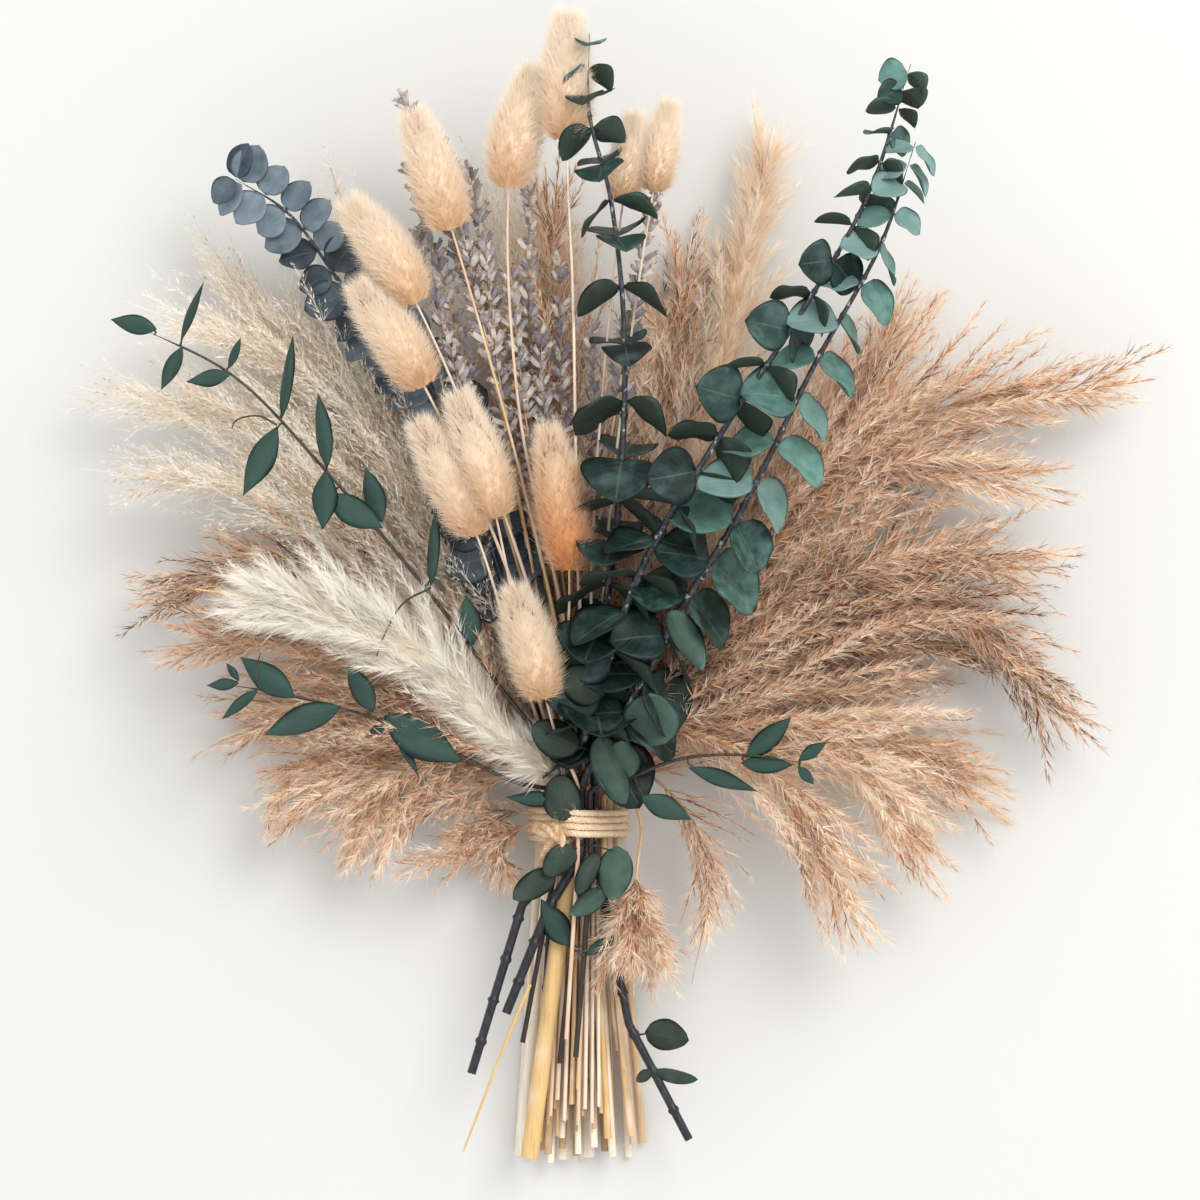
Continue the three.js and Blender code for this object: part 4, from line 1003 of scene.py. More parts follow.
def lavender_finish():
    """Silver-violet calyxes, dark at the mouth, with tan bracts."""
    finish = Finish("lavender_buds", Roughness=0.85)
    along, fluff = finish.read("along"), finish.read("fluff")
    tone = finish.read("tone") * 0.7 + finish.noise(900.0, 3.0) * 0.4 - 0.05
    silver = finish.ramp(tone, [(0.1, colour(120, 114, 126)), (0.45, colour(176, 169, 174)),
                                (0.85, colour(230, 221, 208))])
    tanned = finish.mix(silver, colour(206, 166, 122), finish.clear(fluff, 0.4, 0.7) * 0.8)
    mouth = finish.mix(tanned, colour(104, 92, 104), finish.clear(along, 0.84, 1.02) * 0.55)
    base = finish.mix(colour(176, 158, 124), mouth, finish.clear(along, -0.05, 0.25))
    return finish.paint(base)


def jute_finish():
    finish = Finish("jute", Roughness=0.9)
    fibres = finish.noise(1500.0, 4.0, (1.0, 1.0, 1.0), 0.7)
    tone = fibres * 0.75 + finish.read("stem_tone") * 0.45 - 0.12
    base = finish.ramp(tone, [(0.1, colour(206, 162, 122)), (0.45, colour(246, 216, 180)),
                              (0.85, colour(254, 236, 208))])
    return finish.paint(base, bump=fibres, strength=0.6, distance=0.0004)


def floor_finish():
    finish = Finish("pale_floor", Roughness=0.7)
    cloud = finish.noise(1.5, 2.0)
    base = finish.mix(colour(223, 223, 220), colour(227, 227, 224), cloud)
    return finish.paint(base)


# ------------------------------------------------------------------- running the trees

def make_shapes():
    return {
        "tan": shapes_of("reed_tufts", 8, 11, fill_reed),
        "beige": shapes_of("wisp_tufts", 6, 12, fill_wisp),
        "cream": shapes_of("silk_tufts", 6, 13, fill_silk),
        "bunny": shapes_of("fur_tufts", 6, 15, fill_fur),
        "lavender": shapes_of("calyxes", 4, 14, fill_calyx),
        "green": round_leaves("round_leaves", 21),
        "blue": round_leaves("blue_leaves", 23),
        "fine": long_leaves("long_leaves", 22),
    }


def make_finishes():
    return {
        "tan": plume_finish("reed_tan_plume", (114, 62, 32), (218, 158, 110), (255, 234, 208),
                            (255, 242, 222), (188, 136, 98)),
        "beige": plume_finish("reed_beige_plume", (196, 156, 116), (248, 228, 200), (255, 248, 234),
                              (255, 253, 247), (252, 238, 218)),
        "cream": plume_finish("pampas_plume", (250, 232, 206), (255, 247, 231), (255, 252, 244),
                              (255, 252, 243), (250, 234, 210)),
        "peach": plume_finish("pampas_plume_peach", (240, 200, 160), (250, 224, 194), (254, 238, 216),
                              (255, 242, 224), (244, 212, 176)),
        "bunny": tail_finish(),
        "lavender": lavender_finish(),
        "green": leaf_finish("eucalyptus_leaf", (16, 30, 28), (36, 62, 56), (104, 148, 136),
                             (130, 160, 156), (112, 136, 124), (56, 66, 54)),
        "blue": leaf_finish("blue_eucalyptus_leaf", (44, 54, 62), (76, 90, 100), (124, 140, 150),
                            (146, 160, 168), (136, 148, 152), (84, 96, 106)),
        "fine": leaf_finish("fine_eucalyptus_leaf", (18, 36, 34), (36, 64, 58), (70, 106, 96),
                            (90, 122, 114), (96, 124, 112), (54, 80, 72)),
        "straw": straw_finish("straw_stem", (142, 108, 76), (212, 178, 136), (253, 243, 224)),
        "bark": bark_finish("eucalyptus_stem", (20, 22, 27), (88, 92, 98), 0.0),
        "twig": bark_finish("fine_stem", (44, 38, 34), (96, 80, 64), -0.1),
        "jute": jute_finish(),
    }


class Kit:
    """The node trees, small shapes and finishes that every piece is grown with, by name."""

    def __init__(self):
        self.trees = {"stem": stem_tree(), "plume": plume_tree(), "tuft": tuft_tree(),
                      "leaf": leaf_tree()}
        self.shapes, self.finishes = make_shapes(), make_finishes()

    def grow(self, name, tree, base, finish, shapes=None, **inlets):
        """What a tree makes of a base mesh, as a plain mesh. The modifier doesn't stay."""
        carrier = bpy.data.objects.new(f"{name}_base", base)
        bpy.context.scene.collection.objects.link(carrier)
        modifier = carrier.modifiers.new("growth", "NODES")
        modifier.node_group = self.trees[tree]
        keys = {item.name: item.identifier for item in modifier.node_group.interface.items_tree
                if item.item_type == "SOCKET" and item.in_out == "INPUT"}
        inlets["Finish"] = self.finishes[finish]
        if shapes:
            inlets["Shapes"] = self.shapes[shapes]
        for inlet, value in inlets.items():
            modifier[keys[inlet.replace("_", " ")]] = value
        graph = bpy.context.evaluated_depsgraph_get()
        mesh = bpy.data.meshes.new_from_object(carrier.evaluated_get(graph), depsgraph=graph)
        mesh.name = name
        carrier.modifiers.remove(modifier)
        bpy.data.objects.remove(carrier)
        return mesh


def press_to_floor(mesh):
    """Nothing dips under the surface: what would is pressed flat just above it."""
    places = np.zeros(len(mesh.vertices) * 3, np.float32)
    mesh.vertices.foreach_get("co", places)
    places = places.reshape(-1, 3)
    soft = FLOOR_SOFT * MM
    low = places[:, 2] < soft
    places[low, 2] = soft * np.exp(places[low, 2] / soft - 1)
    mesh.vertices.foreach_set("co", places.ravel())
    mesh.update()


def joined_piece(name, meshes):
    """One object made of several meshes, its place in its mesh."""
    objects = []
    for number, mesh in enumerate(meshes):
        made = bpy.data.objects.new(f"{name}_{number}", mesh)
        bpy.context.scene.collection.objects.link(made)
        objects.append(made)
    bpy.ops.object.select_all(action="DESELECT")
    for made in objects:
        made.select_set(True)
    bpy.context.view_layer.objects.active = objects[0]
    if len(objects) > 1:
        bpy.ops.object.join()
    piece = objects[0]
    piece.name = f"{name}_dressed"
    piece.data.name = piece.name
    press_to_floor(piece.data)
    return piece


def line_mesh(name, lines, warmth=0.0):
    """Edges along lines of points. Each line is (points in mm, radii in mm, tone)."""
    points, edges, thickness, tones, share = [], [], [], [], []
    for line, radii, tone in lines:
        first = len(points)
        points += [tuple(np.asarray(point) * MM) for point in line]
        thickness += [radius * MM for radius in radii]
        tones += list(np.broadcast_to(tone, len(line)))
        share += list(np.linspace(0, 1, len(line)))
        edges += [(i, i + 1) for i in range(first, len(points) - 1)]
    return mesh_from(name, points, edges=edges, attributes={
        "thickness": thickness, "stem_tone": tones, "tone": tones, "branch_tone": tones,
        "share": share, "reach": [1] * len(points), "warmth": [warmth] * len(points)})


def growing_line(name, points, tone=0):
    """The line that plumes and tufts grow on. Its own thickness is never seen."""
    return line_mesh(f"{name}_line", [(points, [1] * len(points), tone)])


# ---------------------------------------------------------------- what each kind wears

# What all plumes share and what each kind has of its own, in metres, radians and shares.
PLUME = dict(Fullest=0.25, Branches=88, Branch_length_spread=0.25, Sag=0.08, Branch_thickness=0.0002,
             Bare_share=0.02)
PLUMES = {
    "tan": dict(PLUME, Branch_length=0.062, Lean=0.62, Lean_spread=0.26, Gather=0.22,
                Branch_thickness=0.0003, Tuft_pitch=0.0032, Tuft_size=0.0112, Tuft_lean=0.34),
    "beige": dict(PLUME, Branch_length=0.074, Lean=0.42, Lean_spread=0.22, Gather=0.12,
                  Tuft_pitch=0.0036, Tuft_size=0.0108, Tuft_lean=0.42),
    "cream": dict(PLUME, Fullest=0.72, Branches=170, Branch_length=0.036, Branch_length_spread=0.18,
                  Lean=0.62, Lean_spread=0.25, Gather=0.25, Tuft_pitch=0.0021, Tuft_size=0.0165,
                  Tuft_lean=0.32, Bare_share=0.0),
}
# What differs from its kind: two tufts close to the stems, fuller or thinner plumes.
OWN_PLUMES = {
    "tan_reed_low": dict(Fullest=0.5, Branches=85, Branch_length=0.026, Lean=0.85, Tuft_size=0.0125),
    "tan_spray_low": dict(Branches=40, Branch_length=0.026, Lean=0.6, Tuft_size=0.0085),
    "tan_reed_13": dict(Fullest=0.05, Branches=64, Lean=0.95, Lean_spread=0.35),
    "cream_pampas_1": dict(Branches=190, Fullest=0.62),
    "cream_pampas_2": dict(Branches=120, Branch_length=0.043, Fullest=0.5, Lean=0.75),
    "beige_reed_6": dict(Branches=125, Branch_length=0.088, Lean=0.52),
    "beige_reed_5": dict(Branches=115, Branch_length=0.08, Lean=0.5),
}
# Darker reeds in the heart of the fan, paler ones round it.
SHADES = {"tan_reed_15": -0.5, "tan_reed_4": -0.45, "tan_reed_3": -0.3, "tan_reed_8": -0.2,
          "tan_reed_10": -0.2, "tan_reed_16": 0.3, "tan_reed_5": 0.3, "tan_reed_6": 0.35,
          "tan_reed_7": 0.2, "tan_reed_low": 0.15, "tan_reed_12": 0.15, "tan_reed_13": 0.2}
EARLIER = {"tan": 52, "beige": 78, "cream": 60}      # mm that a plume starts below its solid's head
OWN_START = {"tan_reed_low": -25, "tan_reed_13": 200, "tan_spray_low": 30}    # the same, for these
SHORTER = {"tan": 24, "beige": 38, "cream": 14}      # mm that its last branch grows below the tip
OWN_SHORTER = {"cream_pampas_1": 28}                 # the same, and for its silk
NEAREST = 16                                         # mm from the tie, and no nearer
NEAREST_SILK = 3                                     # but pampas is silky down to the twine
TAN_SPRAY = dict(PLUMES["tan"], Fullest=0.3, Branches=34, Branch_length=0.019, Tuft_pitch=0.003,
                 Tuft_size=0.0078)
SPRAY_RADIUS = 0.4        # mm, of a loose spray's own stem
SPRAY_FROM = 6            # mm from that stem's foot to its first branch
SPRAY_SHORTER = 4         # and from its last branch to the tip
SPRAY_STEP = 2.0          # between two points of its line

# Pampas silk, a tail's fur, lavender buds and the twine's stray fibres, in the same units.
LOOSE = dict(In_one_ring=1, Turn_of_a_ring=GOLDEN_ANGLE, Size_at_the_tip=0.9, Size_spread=0.3)
TUFTS = {
    "cream": dict(LOOSE, Count=850, Turn_spread=0.5, Lean=0.35, Lean_at_the_tip=0.5, Lean_spread=0.2,
                  Root_radius=0.004, Bulge=0.8, Size=0.017),
    "bunny": dict(LOOSE, Count=2000, Turn_spread=0.4, Lean=0.95, Lean_at_the_tip=0.4,
                  Lean_spread=0.22, Root_radius=0.0084, Bulge=0.6, Size=0.0088),
    "lavender": dict(Count=78, In_one_ring=6, Turn_of_a_ring=0.5, Turn_spread=0.5, Lean=0.9,
                     Lean_at_the_tip=0.5, Lean_spread=0.3, Root_radius=0.0006, Bulge=0.0,
                     Size=0.0068, Size_spread=0.25, Size_at_the_tip=0.75),
    "twine": dict(LOOSE, Turn_spread=1.5, Lean=0.6, Lean_at_the_tip=0.8, Lean_spread=0.4,
                  Root_radius=0.0011, Bulge=0.0, Size=0.005, Size_spread=0.5, Size_at_the_tip=1.0),
}
TUFTS_SHORTER = {"cream": 12, "bunny": 4, "lavender": 1}    # mm that the last one grows below the tip

STRAW_TONES = {"bunny": (0.66, 0.9), "lavender": (0.1, 0.3)}
WOODY = {"green": "bark", "blue": "bark", "fine": "twig"}
FLECKS_FROM = 60          # mm from the tie where a woody stem is fully flecked
THINNEST = 0.15           # mm, radius of the thinnest stem
HEAD_TAPER = 0.8          # share of its radius that a stem loses along its head
LEAFY_SLIMMER = 0.84      # a leafy stem against its solid, and then thicker at each knot
KNOT_PITCH, KNOTS_BACK = 18.5, 4        # mm between two knots, and how far all are moved back
KNOT_SWELL, KNOT_LENGTH = 0.45, 0.8     # share that a knot is thicker, and mm that it fades over
BETWEEN_KNOTS = 0.95
STEM_SIDES, CORE_SIDES, SPRAY_SIDES = 8, 14, 5
CORE_POINTS = 24
CORE_FROM, CORE_OVER = 0.04, 0.9        # the part of a half wave that a core's outline follows
TAIL_CORE = 8.2           # mm, radius of a tail under its fur
SILK_CORE, SILK_SWELL = 1.2, 4.6        # mm, of a pampas plume under its silk
SILK_CORE_REACH = 0.9     # share of the plume
CORE_TONE, SPRAY_TONE, TWIG_TONE = 0.75, 0.3, 0.4

LEAF_WIDTH = {"green": 1.12, "blue": 0.95, "fine": 0.36}    # for each mm of length
IN_PLANE_LEAN = -24       # degrees: pairs that spread sideways hang back
FACING_LEAN = 9           # of pairs that spread up and down, the upper hangs back
FLAT_LEAN = 14            # pairs that lie flat reach forward
LEAN_SPREAD = 26          # degrees between the least and the most lean
FACING_STEADIER = 0.6     # times that, for pairs that spread up and down
FACING_FROM = 45          # a pair spreads up and down where the twist is more than this
TURN_SPREAD = 0.55        # radians between the least and the most turn
ROLL = 0.22               # radians that a sideways leaf turns up to be seen
ROLL_SPREAD = 0.36
ROLL_OPENED = 1.15        # the same for the few that show their whole face
FACING_ROLL = 0.25        # radians between the least and the most, for pairs up and down
FLAT_ROLL, FLAT_ROLL_SPREAD = 0.42, 0.6     # shares of a quarter turn
TIP_PITCH = 8             # mm between the small pairs past the last listed one
TIP_PALER, PALER_FROM = 0.9, 0.6        # green leaves past that share of the stem grow paler
LEAVES_OUT_OF_SHADE = 160        # mm from the tie where leaves are no longer darkened by painted shade
TIE_SHADE_DARKEST = 0.05            # share of its tone that a leaf at the tie keeps: painted shade, deepest at the tie
LEAF_ROOT = 0.6           # mm from the stem's middle
SIZE_LEAST, SIZE_MORE = 0.88, 0.24      # times the length that a leaf's place gives it
WIDTH_LEAST, WIDTH_MORE = 0.9, 0.2
SHORTENS_LATE, SHADE_LIFTS_LATE = 1.8, 1.4   # above 1, a change comes later along the stem
PETIOLE = 0.45            # mm, half the thickness of a leaf's own stalk
PETIOLE_REACH = 0.12      # share of the leaf that it runs into
SEEN_RISE, SEEN_SINK = 0.3, 0.05        # shares of its length that a seen leaf may rise or sink
SEEN_ROLL = 0.5

# What the picture shows of leaves and twigs that follow no rule. Each leaf is (root x, root y,
# tip x, tip y, width, tone), each twig a line and its radius in mm. Places and widths are in
# pixels of a view from above with this scale and tie.
PIXEL = 0.43
TIE_PIXEL = (578, 831)
SEEN_LEAVES = {
    "fine_eucalyptus_left": [
        (163, 333, 117, 323, 20, 0.35), (186, 345, 209, 285, 9, 0.1), (188, 350, 167, 393, 16, 0.3),
        (236, 376, 191, 384, 17, 0.45), (233, 372, 246, 340, 9, 0.2), (285, 422, 297, 337, 13, 0.15),
        (281, 428, 247, 500, 26, 0.4), (330, 470, 322, 395, 18, 0.3), (328, 472, 326, 532, 26, 0.2),
        (331, 496, 386, 528, 31, 0.5), (384, 524, 368, 467, 22, 0.25), (432, 587, 437, 507, 13, 0.2),
        (474, 645, 466, 595, 25, 0.45)],
    "fine_eucalyptus_low": [
        (243, 682, 210, 685, 12, 0.25), (243, 680, 230, 662, 8, 0.1), (262, 688, 225, 719, 12, 0.3),
        (297, 697, 243, 656, 28, 0.45), (343, 706, 266, 733, 30, 0.5), (375, 712, 349, 664, 24, 0.05),
        (385, 715, 462, 762, 42, 0.3), (395, 732, 421, 777, 9, 0.0), (386, 727, 366, 736, 12, 0.0),
        (560, 800, 505, 797, 16, 0.5)],
    "fine_eucalyptus_right": [
        (688, 767, 758, 791, 17, 0.35), (745, 757, 791, 717, 23, 0.3), (740, 762, 794, 764, 19, 0.25),
        (797, 760, 826, 741, 13, 0.35), (797, 765, 813, 784, 11, 0.3), (640, 797, 692, 820, 24, 0.6),
        (585, 957, 618, 934, 12, 0.2), (570, 948, 540, 900, 28, 0.1)],
    "eucalyptus_front": [
        (600, 734, 624, 806, 36, 0.62), (650, 748, 651, 690, 60, 0.7), (622, 780, 622, 738, 38, 0.75),
        (580, 748, 529, 727, 40, 0.15), (668, 610, 705, 668, 30, 0.8), (575, 848, 543, 874, 30, 0.45),
        (556, 872, 511, 900, 28, 0.12), (598, 853, 576, 897, 21, 0.3)],
    "eucalyptus_back": [
        (563, 822, 560, 774, 42, 0.35), (618, 846, 612, 902, 36, 0.75), (606, 888, 570, 917, 22, 0.8),
        (600, 700, 566, 668, 44, 0.1)],
    "eucalyptus_tall": [
        (645, 1034, 690, 1042, 32, 0.1), (652, 1073, 636, 1084, 12, 0.2), (655, 1073, 699, 1083, 15, 0.5)],
}
SEEN_TWIGS = {
    "fine_eucalyptus_left": [
        ([(432, 588), (405, 603), (388, 630), (378, 656)], 0.5),
        ([(281, 427), (262, 418), (240, 423), (236, 431)], 0.5)],
    "fine_eucalyptus_low": [
        ([(263, 688), (260, 668), (264, 652)], 0.4), ([(386, 716), (374, 727), (367, 736)], 0.4)],
    "fine_eucalyptus_right": [([(585, 957), (576, 952), (563, 945)], 0.7)],
    "bunny_tail_9": [([(530, 985), (505, 1045), (463, 1153)], 0.9)],
}
SEEN_SPRAYS = {
    "tan_reed_13": [
        [(536, 822), (490, 845), (442, 858), (393, 873)], [(513, 765), (450, 778), (410, 806), (397, 842)],
        [(536, 822), (500, 846), (511, 884)], [(515, 775), (470, 795), (427, 806), (401, 842)],
        [(536, 815), (505, 815), (470, 832), (455, 846)]],
    "tan_reed_12": [
        [(385, 748), (362, 785), (349, 869)], [(380, 752), (300, 766), (266, 828)]],
}
TWIG_LIFT = 2.0           # mm over the stalk that they grow on
OWN_LIFT = {"fine_eucalyptus_left": 7, "fine_eucalyptus_low": 10, "eucalyptus_back": 7,
            "eucalyptus_front": 8}


def seen(place):
    """Plan point, in mm from the tie, of a pixel of that view."""
    return np.array([(place[0] - TIE_PIXEL[0]) * PIXEL, (TIE_PIXEL[1] - place[1]) * PIXEL])


def raised(stalk, line, place):
    """That pixel's point in space, a little over the stalk where it passes nearest."""
    flat = seen(place)
    nearest = np.argmin(np.linalg.norm(line.points[:, :2] - flat, axis=1))
    return np.array([*flat, line.points[nearest, 2] + OWN_LIFT.get(stalk.name, TWIG_LIFT)])


def bent_through(stalk, line, corners):
    return curve_through([raised(stalk, line, corner) for corner in corners], steps=8)


def unit(way):
    return way / np.linalg.norm(way)


def rolled(across, along, roll):
    """The sideways axis of a leaf that has turned about its own length."""
    return across * math.cos(roll) + np.cross(along, across) * math.sin(roll)


def stem_radii(stalk, line):
    """The stem's radius at each point of its line, thicker at its knots."""
    past = np.clip((line.run - line.tie) / max(line.neck, 1), 0, 1)
    neck = min(NECK_RADIUS[stalk.kind], NECK_SHARE * stalk.radius)
    radii = stalk.radius + (neck - stalk.radius) * past
    beyond = np.clip((line.run - line.tie - line.neck) / line.head, 0, 1)
    radii = radii * (1 - HEAD_TAPER * beyond)
    if stalk.kind in ("green", "blue"):
        half = 0.5 * KNOT_PITCH
        knots = np.abs((line.run + KNOTS_BACK) % KNOT_PITCH - half)
        swell = BETWEEN_KNOTS + KNOT_SWELL * np.exp(-((knots - half) / KNOT_LENGTH) ** 2)
        radii = radii * LEAFY_SLIMMER * swell
    return np.maximum(radii, THINNEST)


def core_lines(stalk, line):
    """The soft body under a head's hairs, as a line with its radii."""
    within = np.linspace(0, 1, CORE_POINTS)
    if stalk.kind == "bunny":
        distances = line.neck + within * (line.head - TUFTS_SHORTER["bunny"])
        wave = np.sin(math.pi * (CORE_FROM + CORE_OVER * within ** 0.85))
        radii = TAIL_CORE * stalk.girth * wave ** 0.6
    else:
        distances = NEAREST_SILK + SILK_CORE_REACH * within * (line.length - NEAREST_SILK)
        wave = np.sin(math.pi * (CORE_FROM + CORE_OVER * within))
        radii = SILK_CORE + SILK_SWELL * wave ** 0.8
    return [([line.at(distance) for distance in distances], radii, CORE_TONE)]


def leaf_axes(stalk, tangent, half, facing, draws):
    """A paired leaf's way out from the stem, the way it grows and its sideways axis."""
    flat = stalk.kind == "blue"
    first = 1 if half == 0 else -1
    turn = half + math.radians(stalk.twist) * facing + TURN_SPREAD * (draws.random() - 0.5)
    lean, spread = IN_PLANE_LEAN, LEAN_SPREAD * (draws.random() - 0.5)
    facing = facing and stalk.twist > FACING_FROM
    if facing:
        lean, spread = FACING_LEAN * first, spread * FACING_STEADIER
    if flat:
        lean = FLAT_LEAN
    lean = math.radians(lean + spread)
    side = unit(np.cross(tangent, UP))
    out = side * math.cos(turn) + np.cross(tangent, side) * math.sin(turn)
    along = out * math.cos(lean) + tangent * math.sin(lean)
    roll = FACING_ROLL * (draws.random() - 0.5)
    if not facing:
        roll = (ROLL + ROLL_SPREAD * draws.random()) * stalk.face
        if draws.random() < stalk.opened:
            roll = ROLL_OPENED
        roll *= first
    if flat:
        roll = math.pi / 2 * (FLAT_ROLL + FLAT_ROLL_SPREAD * draws.random()) * first
    return out, along, rolled(np.cross(tangent, out), along, roll)


def leaf_marks(stalk, line, draws):
    """Leaf pairs as marks: root, growing way, sideways axis, scale and tone of each leaf."""
    if not stalk.pairs:
        return []
    marks = []
    end = line.total - line.tie
    distances = stalk.pairs + list(np.arange(stalk.pairs[-1] + TIP_PITCH, end - 1, TIP_PITCH))
    for number, distance in enumerate(distances):
        share = min(1, number / (len(stalk.pairs) - 1))
        length = stalk.leaf[0] + (stalk.leaf[1] - stalk.leaf[0]) * share ** SHORTENS_LATE
        facing = number % 2 == 1 and stalk.kind != "blue"
        tangent = line.along(min(distance, end - 3))
        # Painted shade: leaves are darkened towards the tie, where they lie deep in the bunch.
        clear = TIE_SHADE_DARKEST + (1 - TIE_SHADE_DARKEST) * min(1, distance / LEAVES_OUT_OF_SHADE) ** SHADE_LIFTS_LATE
        for half in (0, math.pi):
            out, along, across = leaf_axes(stalk, tangent, half, facing, draws)
            size = length * (SIZE_LEAST + SIZE_MORE * draws.random())
            wide = size * LEAF_WIDTH[stalk.kind] * (WIDTH_LEAST + WIDTH_MORE * draws.random())
            tone = clear * (stalk.tones[0] + (stalk.tones[1] - stalk.tones[0]) * draws.random())
            if stalk.kind == "green":
                tone += TIP_PALER * max(0, share - PALER_FROM)
            marks.append((line.at(distance) + out * LEAF_ROOT, along, across, (wide, size, size), tone))
    return marks


def seen_marks(stalk, line, draws):
    """Leaves that were placed one by one, each turned a little to one side."""
    marks = []
    for root_x, root_y, tip_x, tip_y, width, tone in SEEN_LEAVES.get(stalk.name, ()):
        start = raised(stalk, line, (root_x, root_y))
        flat = seen((tip_x, tip_y)) - seen((root_x, root_y))
        size = np.linalg.norm(flat)
        along = unit(np.array([*flat, size * (SEEN_RISE * draws.random() - SEEN_SINK)]))
        across = rolled(unit(np.cross(along, UP)), along, SEEN_ROLL * (draws.random() - 0.5))
        marks.append((start, along, across, (width * PIXEL, size, size), tone))
    return marks


def twig_lines(stalk, line, marks):
    """The twigs placed one by one, and a short stalk for each leaf that stands off."""
    lines = []
    for corners, radius in SEEN_TWIGS.get(stalk.name, ()):
        bent = bent_through(stalk, line, corners)
        lines.append((bent, np.linspace(radius, 0.5 * radius, len(bent)), TWIG_TONE))
    for start, along, _, scale, _ in marks:
        nearest = line.points[np.argmin(np.linalg.norm(line.points - start, axis=1))]
        lines.append(([nearest, 0.5 * (nearest + start), start + along * PETIOLE_REACH * scale[1]],
                      [PETIOLE, PETIOLE, 0.6 * PETIOLE], TWIG_TONE))
    return lines


def mark_mesh(name, marks):
    places, along, across, scales, tones = zip(*marks)
    return mesh_from(name, [np.asarray(place) * MM for place in places], attributes={
        "along_leaf": along, "across_leaf": across,
        "leaf_scale": [np.array(scale) * MM for scale in scales], "leaf_tone": tones})


def spray_meshes(stalk, line, kit):
    """Loose sprays beside a reed's head: each a thin stem with its own small plume."""
    meshes = []
    for number, corners in enumerate(SEEN_SPRAYS.get(stalk.name, ())):
        name = f"{stalk.name}_spray_{number}"
        points = resampled(bent_through(stalk, line, corners), SPRAY_STEP)
        radii = np.linspace(SPRAY_RADIUS, THINNEST, len(points))
        stem = line_mesh(f"{name}_stem", [(points, radii, SPRAY_TONE)])
        meshes.append(kit.grow(f"{name}_stem", "stem", stem, "straw", Sides=SPRAY_SIDES))
        meshes.append(kit.grow(name, "plume", growing_line(name, points), "tan", "tan",
                               Head_from=SPRAY_FROM * MM, Seed=SPRAY_SEED + number,
                               Head_to=(lengths_along(points)[-1] - SPRAY_SHORTER) * MM,
                               Shade=SHADES[stalk.name], **TAN_SPRAY))
    return meshes


def plume_look(stalk, line):
    """The plume's inlets, its number of branches kept to its length."""
    look = {**PLUMES[stalk.kind], **OWN_PLUMES.get(stalk.name, {})}
    look["Shade"] = SHADES.get(stalk.name, 0.0)
    start = max(line.neck - OWN_START.get(stalk.name, EARLIER[stalk.kind]), NEAREST)
    if stalk.kind == "cream":
        start = NEAREST_SILK
    end = line.length - OWN_SHORTER.get(stalk.name, SHORTER[stalk.kind])
    if stalk.name not in OWN_PLUMES:
        look["Branches"] = int(look["Branches"] * (end - start) / HEAD_LENGTH[stalk.kind])
    return dict(Head_from=(line.tie + start) * MM, Head_to=(line.tie + end) * MM, **look)


def tuft_look(stalk, line):
    """The inlets of a pampas plume's silk, a tail's fur or a lavender spike's buds."""
    look = dict(TUFTS[stalk.kind])
    if stalk.kind == "bunny":
        look.update(Count=int(look["Count"] * stalk.girth), Size=look["Size"] * stalk.girth**0.5,
                    Root_radius=look["Root_radius"] * stalk.girth, Warmth=stalk.warmth)
    start = NEAREST_SILK if stalk.kind == "cream" else line.neck
    shorter = OWN_SHORTER.get(stalk.name, TUFTS_SHORTER[stalk.kind])
    return dict(Head_from=(line.tie + start) * MM, Head_to=(line.total - shorter) * MM, **look)


# Each stalk has its own run of draws and its own seeds.
FIRST_DRAWS = 100
SEED_STEP = 50
SPRAY_SEED = 900
FIBRE_SEED = 7000
PLY_SEED = 40


def dress(stalk, number, kit):
    """The finished piece that stands for one stalk."""
    name, kind, line = stalk.name, stalk.kind, Line(stalk)
    draws = np.random.default_rng(FIRST_DRAWS + number)
    soft = "peach" if name == "cream_pampas_2" else kind
    stem = WOODY.get(kind, "straw")
    low, high = STRAW_TONES.get(kind, (0, 1))
    tone = low + (high - low) * draws.random() if stalk.straw < 0 else stalk.straw
    placed = seen_marks(stalk, line, draws)
    if stem != "straw":
        tone = smooth((line.run - line.tie) / FLECKS_FROM)
    lines = [(line.points, stem_radii(stalk, line), tone), *twig_lines(stalk, line, placed)]
    meshes = [kit.grow(name, "stem", line_mesh(name, lines), stem, Sides=STEM_SIDES)]
    base = growing_line(name, line.points)
    if kind in ("bunny", "cream"):
        core = line_mesh(f"{name}_core", core_lines(stalk, line), stalk.warmth)
        meshes.append(kit.grow(f"{name}_core", "stem", core, soft, Sides=CORE_SIDES))
    if kind in PLUMES:
        meshes.append(kit.grow(f"{name}_plume", "plume", base, soft, kind, Seed=number * SEED_STEP,
                               **plume_look(stalk, line)))
    meshes += spray_meshes(stalk, line, kit)
    if kind in TUFTS:
        meshes.append(kit.grow(f"{name}_tufts", "tuft", base, soft, kind, Seed=number * SEED_STEP,
                               **tuft_look(stalk, line)))
    marks = leaf_marks(stalk, line, draws) + placed
    if marks:
        meshes.append(kit.grow(f"{name}_leaves", "leaf", mark_mesh(name, marks), kind, kind))
    piece = joined_piece(name, meshes)
    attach(piece, "root")
    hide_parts(stalk.name)


# ------------------------------------------------------------------------------- twine

